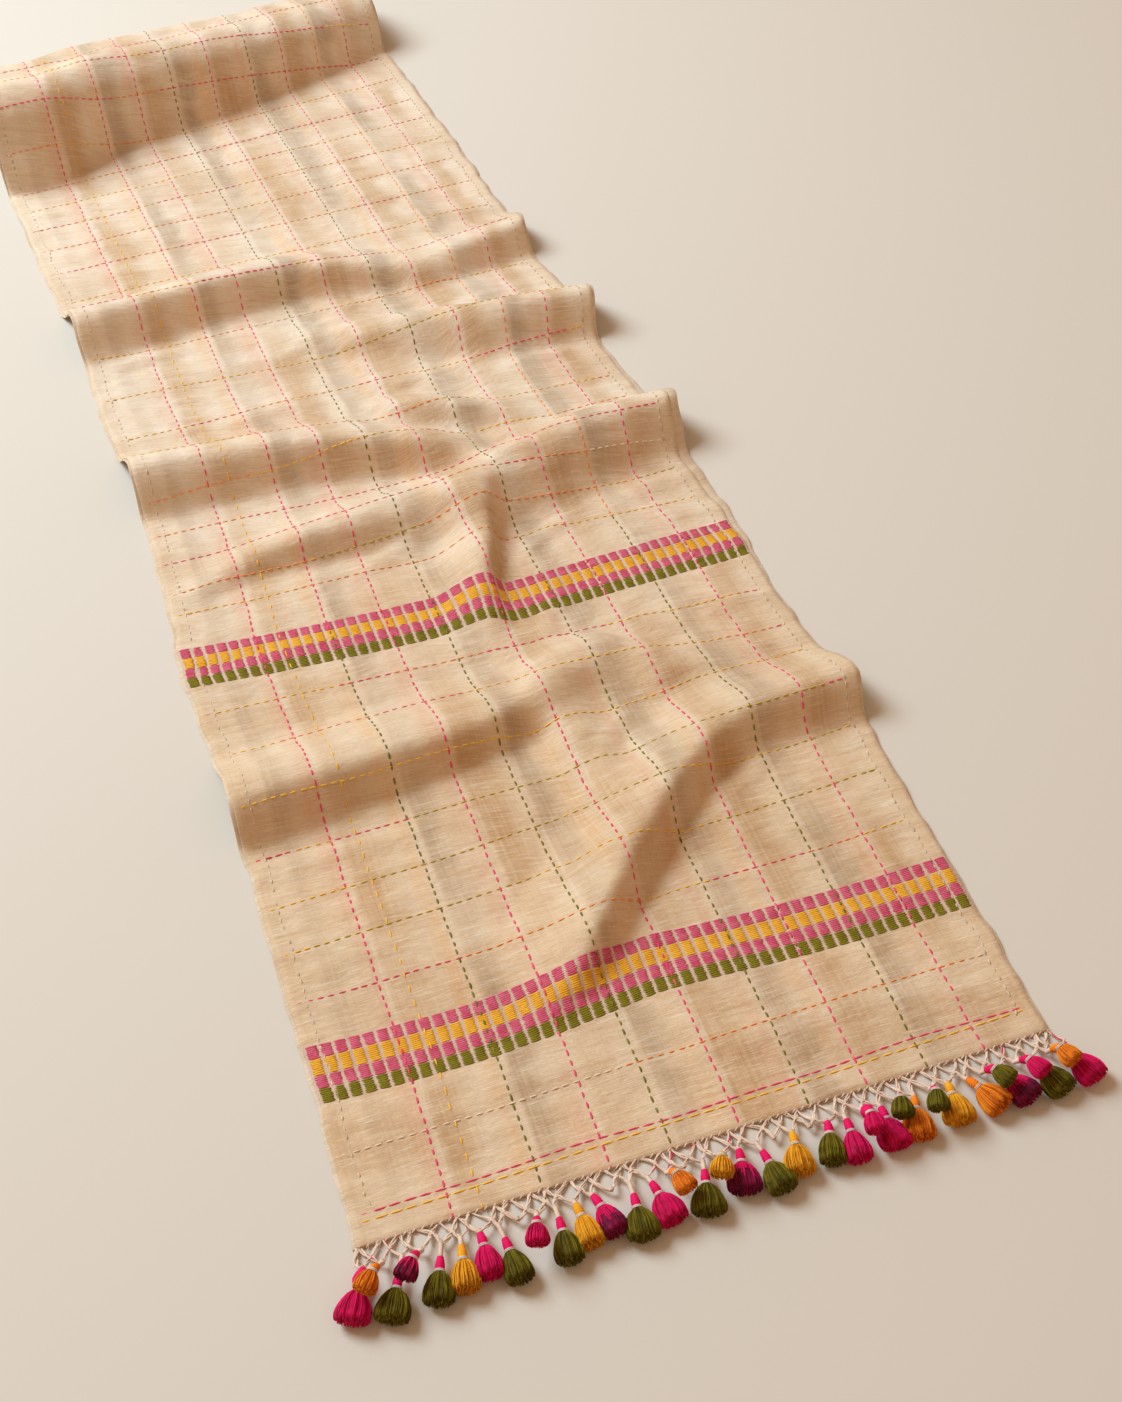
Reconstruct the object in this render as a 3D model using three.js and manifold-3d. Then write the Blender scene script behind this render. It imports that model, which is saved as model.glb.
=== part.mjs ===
// A cotton saree, folded once along its length and laid out from a loose roll.
//
// The doubled strip lies on the floor with soft folds across it. Its near end carries a knotted
// net and a row of tassels; at its far end the cloth climbs over the turns that stay rolled up.
// Millimetres, +Z up, +Y along the strip towards the roll, +X to the right.
//
// "along" is the distance from the fringed end, measured on the strip's centre line.
// "across" is the distance from the centre line, positive to the right.

import * as THREE from 'three';
import { mergeVertices } from 'three/addons/utils/BufferGeometryUtils.js';
import Module from 'manifold-3d';

const wasm = await Module();
wasm.setup();

// ---------------------------------------------------------------- driving dimensions

const CLOTH = 1.2;               // thickness of one layer
const GAP = 0.3;                 // air between two layers, or between two pieces
const STRIP_TOP = 2 * CLOTH + GAP;
const END_SKEW = 0.018;          // the fringed end runs a little aslant
const END_ALONG = 10;
const BEND = THREE.MathUtils.degToRad(3.645) / 1000;   // the strip turns left, per mm
const BEND_CENTRE = 900;         // where the strip runs straight along +Y
const ACROSS_CELLS = 15;
const UNDER_PEEK_LEFT = 3;       // the under layer stands out past the top one
const ROLL_HALF_WIDTH = 290;     // where the roll's left and right sections are
const ROLL_OUTLINE = 1600;       // the place along whose width the roll keeps
const ROLL_EDGE_INSET = 2;       // the turns end this far inside the cloth's edge
const ROLL_GROOVE_INSET = 14;    // depth of the grooves between the turns' edges
const ROLL_TURNS = 4;            // turns that show at each end of the roll
const TURNS_SHORT_OF_TUCK = 5;   // the turns end this far in front of the cloth's tucked edge
const TURNS_BEHIND_FOOT = 4;     // and start this far behind the cloth's front face
const TURN_PITCH = 0.2;          // from one turn to the next, as a share of the roll
const TURN_WALL = 0.07;          // thickness of a turn's edge, as a share of the roll
const NET_KNOTS = 40;
const NET_PITCH = 14.77;         // the outer knots hang from the cloth's corners
const NET_REACH = 20;            // from the cloth's edge to the lowest knots
const NET_CORD = 2.4;
const NET_THICK = 2;
const NET_HEADER = 3.2;
const NET_LOW = 0.5;             // height of the net's underside at the cloth's edge
const NET_RISE = 4.5;            // and how much higher it is at the knots
const NET_ROUNDING = 0.7;        // share of a cord by which the meshes' corners are cut back
const LOCKS = 6;                 // locks of thread in each tassel

// Rows of the cloth's grid: from one distance along to the next, in this many steps.
const ROW_STEPS = [
  { to: 330, steps: 6 },
  { to: 560, steps: 11 },
  { to: 1320, steps: 39 },
];
const FOOT_STEPS = 5;            // from the last of them to the foot of the roll

// Edges of the strip: distance from the centre line to the left and to the right hem.
const OUTLINE = [
  { along: 0, left: 288, right: 285 },
  { along: 140, left: 287, right: 288 },
  { along: 300, left: 289, right: 291 },
  { along: 420, left: 288, right: 297 },
  { along: 540, left: 290, right: 289 },
  { along: 650, left: 293, right: 290 },
  { along: 760, left: 286, right: 284 },
  { along: 880, left: 281, right: 287 },
  { along: 1010, left: 283, right: 282 },
  { along: 1090, left: 286, right: 291 },
  { along: 1210, left: 281, right: 277 },
  { along: 1330, left: 286, right: 283 },
  { along: 1560, left: 289, right: 287 },
  { along: 1850, left: 288, right: 290 },
];

// How far the under layer stands out past the right hem.
const UNDER_PEEK = [
  { along: 0, right: 2 },
  { along: 560, right: 3 },
  { along: 700, right: 9 },
  { along: 800, right: 13 },
  { along: 880, right: 8 },
  { along: 1000, right: 4 },
  { along: 1700, right: 3 },
];

// Folds that run across the strip. A row gives the crest's place and height, and how far the
// fold reaches in front of the crest (towards the fringe) and behind it.
const FOLDS_ACROSS = [
  {
    name: 'far fold', lean: 0.32,
    crest: [
      { across: -300, along: 1238, height: 46, front: 84, back: 66 },
      { across: -200, along: 1246, height: 44, front: 58, back: 70 },
      { across: -110, along: 1256, height: 42, front: 52, back: 74 },
      { across: -20, along: 1258, height: 38, front: 46, back: 78 },
      { across: 70, along: 1240, height: 28, front: 46, back: 80 },
      { across: 135, along: 1222, height: 22, front: 44, back: 80 },
      { across: 190, along: 1228, height: 30, front: 42, back: 76 },
      { across: 300, along: 1250, height: 36, front: 44, back: 66 },
    ],
  },
  {
    name: 'right shoulder', lean: 0.3,
    crest: [
      { across: -90, along: 1140, height: 0, front: 40, back: 50 },
      { across: -35, along: 1130, height: 12, front: 44, back: 50 },
      { across: 50, along: 1110, height: 26, front: 56, back: 54 },
      { across: 160, along: 1080, height: 43, front: 62, back: 60 },
      { across: 215, along: 1071, height: 46, front: 60, back: 62 },
      { across: 300, along: 1064, height: 45, front: 56, back: 60 },
    ],
  },
  {
    name: 'left fold', lean: 0.26,
    crest: [
      { across: -300, along: 938, height: 46, front: 60, back: 74 },
      { across: -200, along: 930, height: 44, front: 52, back: 80 },
      { across: -110, along: 920, height: 42, front: 48, back: 84 },
      { across: -20, along: 898, height: 38, front: 46, back: 84 },
      { across: 45, along: 872, height: 28, front: 42, back: 70 },
      { across: 90, along: 846, height: 12, front: 38, back: 56 },
      { across: 125, along: 820, height: 0, front: 30, back: 40 },
    ],
  },
  {
    name: 'short crease', lean: 0.2,
    crest: [
      { across: -50, along: 1000, height: 0, front: 30, back: 34 },
      { across: 5, along: 968, height: 14, front: 30, back: 40 },
      { across: 55, along: 952, height: 22, front: 32, back: 44 },
      { across: 98, along: 932, height: 20, front: 36, back: 42 },
      { across: 150, along: 915, height: 6, front: 36, back: 40 },
      { across: 180, along: 905, height: 0, front: 36, back: 40 },
    ],
  },
  {
    name: 'middle fold', lean: 0.3,
    crest: [
      { across: -285, along: 748, height: 0, front: 26, back: 34 },
      { across: -206, along: 775, height: 14, front: 32, back: 44 },
      { across: -120, along: 788, height: 26, front: 40, back: 52 },
      { across: -4, along: 797, height: 34, front: 66, back: 54 },
      { across: 58, along: 804, height: 40, front: 90, back: 52 },
      { across: 117, along: 822, height: 44, front: 96, back: 54 },
      { across: 190, along: 840, height: 48, front: 84, back: 58 },
      { across: 300, along: 846, height: 50, front: 66, back: 56 },
    ],
  },
  {
    name: 'near left fold', lean: 0.28,
    crest: [
      { across: -300, along: 448, height: 38, front: 56, back: 80 },
      { across: -225, along: 455, height: 38, front: 50, back: 86 },
      { across: -130, along: 463, height: 35, front: 44, back: 88 },
      { across: -45, along: 473, height: 30, front: 42, back: 80 },
      { across: 2, along: 490, height: 24, front: 44, back: 62 },
      { across: 60, along: 512, height: 10, front: 60, back: 46 },
      { across: 110, along: 524, height: 0, front: 60, back: 40 },
    ],
  },
  {
    name: 'soft swell', lean: 0.1,
    crest: [
      { across: 0, along: 520, height: 0, front: 50, back: 30 },
      { across: 55, along: 532, height: 15, front: 62, back: 38 },
      { across: 96, along: 530, height: 19, front: 66, back: 42 },
      { across: 130, along: 505, height: 16, front: 60, back: 46 },
      { across: 200, along: 480, height: 4, front: 50, back: 50 },
      { across: 250, along: 480, height: 0, front: 50, back: 50 },
    ],
  },
  {
    name: 'near diagonal fold', lean: 0.3,
    crest: [
      { across: -125, along: 150, height: 0, front: 40, back: 60 },
      { across: -95, along: 172, height: 6, front: 44, back: 80 },
      { across: -55, along: 200, height: 20, front: 50, back: 110 },
      { across: -20, along: 238, height: 30, front: 58, back: 118 },
      { across: 20, along: 284, height: 34, front: 58, back: 110 },
      { across: 72, along: 334, height: 34, front: 54, back: 96 },
      { across: 120, along: 374, height: 33, front: 50, back: 84 },
      { across: 180, along: 404, height: 33, front: 46, back: 74 },
      { across: 300, along: 412, height: 36, front: 50, back: 66 },
    ],
  },
];

// Folds that run along the strip: the crest's place, and how far the fold reaches to its left
// and to its right.
const FOLDS_ALONG = [
  {
    name: 'hooked fold', lean: 0.3,
    crest: [
      { along: 560, across: -12, height: 0, left: 50, right: 34 },
      { along: 600, across: -2, height: 9, left: 52, right: 34 },
      { along: 655, across: 9, height: 20, left: 52, right: 32 },
      { along: 700, across: 24, height: 26, left: 54, right: 32 },
      { along: 750, across: 38, height: 22, left: 60, right: 36 },
      { along: 795, across: 50, height: 8, left: 60, right: 40 },
      { along: 825, across: 56, height: 0, left: 60, right: 40 },
    ],
  },
  {
    name: 'saddle', lean: 0.1,
    crest: [
      { along: 350, across: 40, height: 0, left: 30, right: 40 },
      { along: 400, across: 30, height: 9, left: 32, right: 44 },
      { along: 455, across: 28, height: 12, left: 34, right: 50 },
      { along: 500, across: 22, height: 0, left: 34, right: 44 },
    ],
  },
];

// Foot of the roll: where the strip stops lying flat and starts to climb.
const ROLL_FOOT = [
  { across: -300, along: 1584 },
  { across: -215, along: 1594 },
  { across: -134, along: 1636 },
  { across: -40, along: 1660 },
  { across: 80, along: 1690 },
  { across: 200, along: 1730 },
  { across: 300, along: 1768 },
];

// Section of the roll's outer turn at its left and right end: depth behind the foot and height.
const ROLL_SECTION = [
  { leftDepth: 12, leftHeight: 6, rightDepth: 8, rightHeight: 5 },
  { leftDepth: 24, leftHeight: 28, rightDepth: 15, rightHeight: 18 },
  { leftDepth: 33, leftHeight: 64, rightDepth: 21, rightHeight: 38 },
  { leftDepth: 48, leftHeight: 99, rightDepth: 33, rightHeight: 57 },
  { leftDepth: 78, leftHeight: 119, rightDepth: 56, rightHeight: 67 },
  { leftDepth: 112, leftHeight: 111, rightDepth: 80, rightHeight: 68 },
  { leftDepth: 140, leftHeight: 96, rightDepth: 102, rightHeight: 64 },
  { leftDepth: 172, leftHeight: 98, rightDepth: 122, rightHeight: 56 },
  { leftDepth: 202, leftHeight: 89, rightDepth: 137, rightHeight: 44 },
  { leftDepth: 224, leftHeight: 62, rightDepth: 147, rightHeight: 29 },
  { leftDepth: 236, leftHeight: 28, rightDepth: 152, rightHeight: 13 },
  { leftDepth: 230, leftHeight: 2, rightDepth: 149, rightHeight: 2 },
  { leftDepth: 214, leftHeight: 0, rightDepth: 138, rightHeight: 0 },
];
const ROLL_BACK_ROWS = 2;        // the last rows of the section are tucked under the roll

// Tassels: the knot it hangs from, the place of its skirt, whether it lies on its neighbours.
const TASSELS = [
  { knot: 0, across: -300, out: 46, tier: 0, tone: 'magenta' },
  { knot: 1, across: -287, out: 38, tier: 1, tone: 'orange' },
  { knot: 2, across: -273, out: 54, tier: 0, tone: 'olive' },
  { knot: 3, across: -257, out: 38, tier: 1, tone: 'plum' },
  { knot: 4, across: -239, out: 52, tier: 0, tone: 'olive' },
  { knot: 5, across: -219, out: 49, tier: 0, tone: 'yellow' },
  { knot: 6, across: -200, out: 44, tier: 0, tone: 'magenta' },
  { knot: 7, across: -182, out: 54, tier: 0, tone: 'olive' },
  { knot: 9, across: -162, out: 44, tier: 1, tone: 'magenta' },
  { knot: 10, across: -142, out: 52, tier: 0, tone: 'olive' },
  { knot: 11, across: -124, out: 45, tier: 0, tone: 'yellow' },
  { knot: 12, across: -106, out: 42, tier: 0, tone: 'plum' },
  { knot: 14, across: -84, out: 52, tier: 0, tone: 'olive' },
  { knot: 15, across: -62, out: 47, tier: 0, tone: 'magenta' },
  { knot: 16, across: -47, out: 38, tier: 1, tone: 'orange' },
  { knot: 18, across: -30, out: 50, tier: 0, tone: 'olive' },
  { knot: 19, across: -14, out: 36, tier: 1, tone: 'yellow' },
  { knot: 20, across: 2, out: 42, tier: 0, tone: 'plum' },
  { knot: 21, across: 26, out: 50, tier: 0, tone: 'olive' },
  { knot: 23, across: 47, out: 42, tier: 0, tone: 'yellow' },
  { knot: 25, across: 75, out: 42, tier: 0, tone: 'olive' },
  { knot: 26, across: 93, out: 46, tier: 0, tone: 'magenta' },
  { knot: 27, across: 109, out: 40, tier: 1, tone: 'magenta' },
  { knot: 28, across: 124, out: 45, tier: 0, tone: 'magenta' },
  { knot: 29, across: 136, out: 34, tier: 1, tone: 'olive' },
  { knot: 30, across: 147, out: 44, tier: 0, tone: 'orange' },
  { knot: 31, across: 164, out: 38, tier: 1, tone: 'olive' },
  { knot: 32, across: 181, out: 42, tier: 0, tone: 'yellow' },
  { knot: 33, across: 210, out: 42, tier: 0, tone: 'orange' },
  { knot: 34, across: 222, out: 34, tier: 1, tone: 'olive' },
  { knot: 35, across: 236, out: 42, tier: 0, tone: 'plum' },
  { knot: 36, across: 251, out: 36, tier: 1, tone: 'magenta' },
  { knot: 37, across: 265, out: 44, tier: 0, tone: 'olive' },
  { knot: 38, across: 279, out: 34, tier: 1, tone: 'orange' },
  { knot: 39, across: 294, out: 42, tier: 0, tone: 'magenta' },
];
// Skirts lie on the floor; buds are smaller tassels that lie on their neighbours.
const SKIRTS = [
  { halfWidth: 13, halfHeight: 8.5, length: 28, middle: 9.2 },
  { halfWidth: 9, halfHeight: 6.5, length: 20, middle: 25.4 },
];
const BUD_OUT = 40;              // a bud lies lower where it is nearer the net than this
const BUD_SLOPE = 0.35;
const SKIRT_GAP = 1.4;           // from a skirt to the middle of its gap to the next one
const LOCK_THICK = 2.5;          // half the thickness of a lock
const LOCK_ROOT = 0.15;          // share of the skirt's length where the locks leave the head
const LOCK_ROOT_RADIUS = 2.7;    // the ring in which they leave it
const LOCK_ROOT_THICK = 0.9;     // half the thickness of a lock there
const LOCK_NARROW = 0.4;         // widest a lock may be, as a share of its narrow skirt
const HEAD_RADIUS = 5.2;
const HEAD_LENGTH = 6;           // from the neck's end to the widest place of the head
const NECK_START = 1.2;          // from the net to the neck
const NECK_RADIUS = [1.4, 3.6];  // at the net and at the head
const HEAD_SIDES = 6;

const TONES = {
  magenta: 0xc4166a,
  plum: 0x86123f,
  orange: 0xe8701a,
  yellow: 0xeda522,
  olive: 0x55601a,
};

// ---------------------------------------------------------------- curves and surfaces

// Smooth curve through a table's rows: a cubic with the slope of each row's two neighbours.
function curve(table, key, value, at) {
  const last = table.length - 1;
  if (at <= table[0][key]) return table[0][value];
  if (at >= table[last][key]) return table[last][value];
  let i = 0;
  while (at > table[i + 1][key]) i += 1;
  const slope = (k) => {
    const a = table[Math.max(k - 1, 0)];
    const b = table[Math.min(k + 1, last)];
    return (b[value] - a[value]) / (b[key] - a[key]);
  };
  const span = table[i + 1][key] - table[i][key];
  const t = (at - table[i][key]) / span;
  const rise = t * t * (3 - 2 * t);
  const start = t * (1 - t) * (1 - t) * span * slope(i);
  const end = t * t * (t - 1) * span * slope(i + 1);
  return table[i][value] * (1 - rise) + table[i + 1][value] * rise + start + end;
}

// A rounded bump: 1 at its crest, 0 from a reach of 1 on.
function bump(reach) {
  return reach >= 1 ? 0 : 0.5 + 0.5 * Math.cos(Math.PI * reach);
}

function foldHeight(fold, at, away, placeKey, atKey, before, after) {
  const height = Math.max(curve(fold.crest, atKey, 'height', at), 0);
  if (height === 0) return 0;
  const offset = away - curve(fold.crest, atKey, placeKey, at);
  const reach = curve(fold.crest, atKey, offset < 0 ? before : after, at);
  return height * bump(Math.abs(offset) / reach);
}

// A point in strip coordinates becomes a point of the room: the centre line is an arc.
function place(alongStrip, across, z) {
  const turn = BEND * (alongStrip - BEND_CENTRE);
  const x = (Math.cos(turn) - 1) / BEND + across * Math.cos(turn);
  const y = Math.sin(turn) / BEND + across * Math.sin(turn);
  return new THREE.Vector3(x, y, z);
}

// The top layer's upper side on the strip: every fold adds its height and leans over by it.
function stripPoint(alongStrip, across) {
  let z = STRIP_TOP;
  let forward = 0;
  let sideways = 0;
  for (const fold of FOLDS_ACROSS) {
    const height = foldHeight(fold, across, alongStrip, 'along', 'across', 'front', 'back');
    z += height;
    forward += fold.lean * height;
  }
  for (const fold of FOLDS_ALONG) {
    const height = foldHeight(fold, alongStrip, across, 'across', 'along', 'left', 'right');
    z += height;
    sideways += fold.lean * height;
  }
  return place(alongStrip - forward, across + sideways, z);
}

function endAlong(across) {
  return END_ALONG + END_SKEW * across;
}

// Distances along, from the fringed end to the foot of the roll, for one line across.
function rowPlaces(across) {
  const places = [endAlong(across)];
  for (const { to, steps } of ROW_STEPS) {
    const from = places[places.length - 1];
    for (let i = 1; i <= steps; i += 1) places.push(from + (to - from) * i / steps);
  }
  const from = places[places.length - 1];
  const foot = curve(ROLL_FOOT, 'across', 'along', across);
  for (let i = 1; i <= FOOT_STEPS; i += 1) places.push(from + (foot - from) * i / FOOT_STEPS);
  return places;
}

// A point of the roll's outer turn, for one row of its section.
function rollPoint(row, across) {
  const share = THREE.MathUtils.clamp(0.5 + 0.5 * across / ROLL_HALF_WIDTH, 0, 1);
  const depth = THREE.MathUtils.lerp(row.leftDepth, row.rightDepth, share);
  const height = THREE.MathUtils.lerp(row.leftHeight, row.rightHeight, share);
  return place(curve(ROLL_FOOT, 'across', 'along', across) + depth, across, height);
}

// Grid of the cloth's upper side: rows[i][j], i from the fringe to the roll, j left to right.
function clothGrid() {
  const shares = [];
  for (let j = 0; j <= ACROSS_CELLS; j += 1) shares.push(2 * j / ACROSS_CELLS - 1);
  const across = (share, alongStrip) => (
    share * curve(OUTLINE, 'along', share < 0 ? 'left' : 'right', alongStrip)
  );
  const columns = shares.map((share) => {
    const points = rowPlaces(across(share, 0)).map((s) => stripPoint(s, across(share, s)));
    for (const row of ROLL_SECTION) points.push(rollPoint(row, across(share, ROLL_OUTLINE)));
    return points;
  });
  return columns[0].map((_, i) => columns.map((column) => column[i]));
}

// Normals of a grid, from the lines between each point's neighbours.
function gridNormals(rows) {
  const lastRow = rows.length - 1;
  return rows.map((row, i) => row.map((_, j) => {
    const right = row[Math.min(j + 1, row.length - 1)].clone().sub(row[Math.max(j - 1, 0)]);
    const ahead = rows[Math.min(i + 1, lastRow)][j].clone().sub(rows[Math.max(i - 1, 0)][j]);
    return right.cross(ahead).normalize();
  }));
}

function offsetGrid(rows, normals, depth) {
  return rows.map((row, i) => row.map((p, j) => p.clone().addScaledVector(normals[i][j], -depth)));
}

// ---------------------------------------------------------------- closed bodies

function geometryFrom(points, triangles) {
  const geometry = new THREE.BufferGeometry();
  const numbers = points.flatMap((p) => [p.x, p.y, p.z]);
  geometry.setAttribute('position', new THREE.Float32BufferAttribute(numbers, 3));
  geometry.setIndex(triangles);
  return geometry;
}

// A wall between an upper and a lower grid, closed along its four edges.
function wall(upper, lower) {
  const rows = upper.length;
  const columns = upper[0].length;
  const points = [...upper.flat(), ...lower.flat()];
  const top = (i, j) => i * columns + j;
  const bottom = (i, j) => rows * columns + top(i, j);
  const triangles = [];
  const quad = (a, b, c, d) => triangles.push(a, b, c, a, c, d);
  for (let i = 0; i + 1 < rows; i += 1) {
    for (let j = 0; j + 1 < columns; j += 1) {
      quad(top(i, j), top(i, j + 1), top(i + 1, j + 1), top(i + 1, j));
      quad(bottom(i, j), bottom(i + 1, j), bottom(i + 1, j + 1), bottom(i, j + 1));
    }
    quad(top(i, 0), top(i + 1, 0), bottom(i + 1, 0), bottom(i, 0));
    const right = columns - 1;
    quad(top(i, right), bottom(i, right), bottom(i + 1, right), top(i + 1, right));
  }
  for (let j = 0; j + 1 < columns; j += 1) {
    quad(top(0, j), bottom(0, j), bottom(0, j + 1), top(0, j + 1));
    const far = rows - 1;
    quad(top(far, j), top(far, j + 1), bottom(far, j + 1), bottom(far, j));
  }
  return geometryFrom(points, triangles);
}

// A body through closed rings of points, its two ends closed by fans.
// The rings turn left-handed about the way they are listed.
function loft(rings) {
  const sides = rings[0].length;
  const points = rings.flat();
  const triangles = [];
  for (let i = 0; i + 1 < rings.length; i += 1) {
    for (let k = 0; k < sides; k += 1) {
      const a = i * sides + k;
      const b = i * sides + (k + 1) % sides;
      triangles.push(a, a + sides, b + sides, a, b + sides, b);
    }
  }
  const last = (rings.length - 1) * sides;
  for (let k = 1; k + 1 < sides; k += 1) {
    triangles.push(0, k, k + 1);
    triangles.push(last, last + k + 1, last + k);
  }
  return geometryFrom(points, triangles);
}

function solidOf(geometry) {
  const bare = geometry.clone();
  bare.deleteAttribute('normal');
  bare.deleteAttribute('uv');
  const merged = mergeVertices(bare, 1e-4);
  return new wasm.Manifold(new wasm.Mesh({
    numProp: 3,
    vertProperties: new Float32Array(merged.getAttribute('position').array),
    triVerts: new Uint32Array(merged.getIndex().array),
  }));
}

function fuse(geometries) {
  const solid = geometries.map(solidOf).reduce((whole, piece) => whole.add(piece));
  const mesh = solid.getMesh();
  const geometry = new THREE.BufferGeometry();
  geometry.setAttribute('position', new THREE.Float32BufferAttribute(mesh.vertProperties, 3));
  geometry.setIndex([...mesh.triVerts]);
  return geometry;
}

function piece(name, geometry, color, roughness) {
  const material = new THREE.MeshStandardMaterial({ color, roughness, metalness: 0 });
  const mesh = new THREE.Mesh(geometry, material);
  mesh.name = name;
  return mesh;
}

// ---------------------------------------------------------------- the two layers of the strip

const grid = clothGrid();
const normals = gridNormals(grid);
const footRow = grid.length - 1 - ROLL_SECTION.length;

function upperLayer() {
  const inside = offsetGrid(grid, normals, CLOTH);
  return piece('upper_layer', wall(grid, inside), 0xe6d3b3, 0.85);
}

// The under layer follows the top one and stands out a little past both hems.
function underLayer() {
  const rows = grid.slice(0, footRow + 1).map((row, i) => {
    const last = row.length - 1;
    const spread = row[last].clone().sub(row[0]).normalize();
    const peek = curve(UNDER_PEEK, 'along', 'right', row[last].y + BEND_CENTRE);
    const left = row[0].clone().addScaledVector(spread, -UNDER_PEEK_LEFT);
    const right = row[last].clone().addScaledVector(spread, peek);
    const up = normals[i];
    return { points: [left, ...row, right], up: [up[0], ...up, up[last]] };
  });
  const points = rows.map((row) => row.points);
  const up = rows.map((row) => row.up);
  const upper = offsetGrid(points, up, CLOTH + GAP);
  const lower = offsetGrid(points, up, 2 * CLOTH + GAP);
  for (const point of lower.flat()) point.z = Math.max(point.z, 0);
  return piece('under_layer', wall(upper, lower), 0xe0cba9, 0.88);
}

// ---------------------------------------------------------------- the roll's hidden turns

// Ring of the hidden turns at a place between two columns of the grid, just inside the cloth.
function turnsRing(column) {
  const j = Math.min(Math.floor(column), ACROSS_CELLS - 1);
  const share = column - j;
  const inside = offsetGrid(grid, normals, CLOTH + 2 * GAP);
  const first = footRow + 2;     // the first row of the section lies too low for a turn
  const end = grid.length - ROLL_BACK_ROWS;
  const ring = [];
  for (let i = first; i < end; i += 1) ring.push(inside[i][j].clone().lerp(inside[i][j + 1], share));
  const tuck = grid[grid.length - 1][j].clone().lerp(grid[grid.length - 1][j + 1], share);
  const front = ring[0];
  const backwards = tuck.clone().sub(front).setZ(0).normalize();
  ring.push(tuck.clone().addScaledVector(backwards, -TURNS_SHORT_OF_TUCK).setZ(0));
  ring.push(front.clone().addScaledVector(backwards, TURNS_BEHIND_FOOT).setZ(0));
  return ring;
}

function shrunk(ring, scale) {
  const centre = ring.reduce((sum, p) => sum.add(p), new THREE.Vector3())
    .divideScalar(ring.length);
  return ring.map((p) => centre.clone().lerp(p, scale));
}

// Rings of one end of the roll, from its innermost turn out: each turn's edge stands up from a
// groove, and the outermost one is the ring of the roll itself.
function layeredEnd(edge, groove) {
  const rings = [];
  for (let turn = ROLL_TURNS; turn > 0; turn -= 1) {
    const outside = 1 - turn * TURN_PITCH;
    rings.push(shrunk(edge, outside), shrunk(groove, outside));
    const next = outside + TURN_PITCH - TURN_WALL;
    rings.push(shrunk(groove, next), shrunk(edge, next));
  }
  rings.push(edge);
  return rings;
}

function rollTurns() {
  const step = grid[footRow][1].distanceTo(grid[footRow][0]);
  const edge = ROLL_EDGE_INSET / step;
  const groove = ROLL_GROOVE_INSET / step;
  const rings = layeredEnd(turnsRing(edge), turnsRing(groove));
  for (let j = 1; j < ACROSS_CELLS; j += 1) rings.push(turnsRing(j));
  const rightEdge = turnsRing(ACROSS_CELLS - edge);
  const rightGroove = turnsRing(ACROSS_CELLS - groove);
  rings.push(...layeredEnd(rightEdge, rightGroove).reverse());
  return piece('roll_turns', loft(rings), 0xddc7a4, 0.9);
}

// ---------------------------------------------------------------- the knotted net

function knotAcross(knot) {
  return (knot - (NET_KNOTS - 1) / 2) * NET_PITCH;
}

// Flat net: a header strip, a row of half meshes, a row of diamonds and a row of points. The
// outer knots have half diamonds.
function netShape() {
  const middle = NET_HEADER + (NET_REACH - NET_HEADER) / 2;
  const half = NET_PITCH / 2;
  const cord = NET_CORD;
  const last = NET_KNOTS - 1;
  const shape = new THREE.Shape();
  shape.moveTo(knotAcross(0) - cord / 2, 0);
  for (let knot = 0; knot < NET_KNOTS; knot += 1) {
    const x = knotAcross(knot);
    shape.lineTo(x - cord / 2, -NET_REACH);
    shape.lineTo(x + cord / 2, -NET_REACH);
    if (knot < last) shape.lineTo(x + half, -middle - cord * NET_ROUNDING);
  }
  shape.lineTo(knotAcross(last) + cord / 2, 0);
  for (let knot = 0; knot < NET_KNOTS; knot += 1) {
    const x = knotAcross(knot);
    const diamond = new THREE.Path();
    diamond.moveTo(x, -NET_HEADER - cord * 0.3);
    if (knot < last) diamond.lineTo(x + half - cord * NET_ROUNDING, -middle);
    diamond.lineTo(x, -NET_REACH + cord);
    if (knot > 0) diamond.lineTo(x - half + cord * NET_ROUNDING, -middle);
    shape.holes.push(diamond);
  }
  for (let knot = 0; knot + 1 < NET_KNOTS; knot += 1) {
    const x = knotAcross(knot) + half;
    const uneven = cord * 0.15 * (1 + Math.sin(2.4 * knot));
    const mesh = new THREE.Path();
    mesh.moveTo(x - half + cord * 0.8, -NET_HEADER - uneven);
    mesh.lineTo(x + half - cord * 0.8, -NET_HEADER - cord * 0.2);
    mesh.lineTo(x, -middle + cord * 0.9);
    shape.holes.push(mesh);
  }
  return shape;
}

// The net climbs from the cloth's edge to the height of the tassels' necks.
function netHeight(out) {
  return NET_LOW + NET_RISE * THREE.MathUtils.smoothstep(out, 0, NET_REACH);
}

function fringeNet() {
  const geometry = new THREE.ExtrudeGeometry(netShape(), { depth: NET_THICK, bevelEnabled: false });
  const position = geometry.getAttribute('position');
  for (let i = 0; i < position.count; i += 1) {
    const across = position.getX(i);
    const out = -position.getY(i);
    const point = place(
      endAlong(across) - GAP - out, across, netHeight(out) + position.getZ(i),
    );
    position.setXYZ(i, point.x, point.y, point.z);
  }
  return piece('fringe_net', geometry, 0xd8c8b0, 0.8);
}

// ---------------------------------------------------------------- tassels

// Half the room to the nearest skirt of the same tier.
function skirtHalfWidth(tassel) {
  const gaps = TASSELS
    .filter((other) => other !== tassel && other.tier === tassel.tier)
    .map((other) => Math.abs(other.across - tassel.across));
  return Math.min(SKIRTS[tassel.tier].halfWidth, Math.min(...gaps) / 2 - SKIRT_GAP);
}

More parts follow.
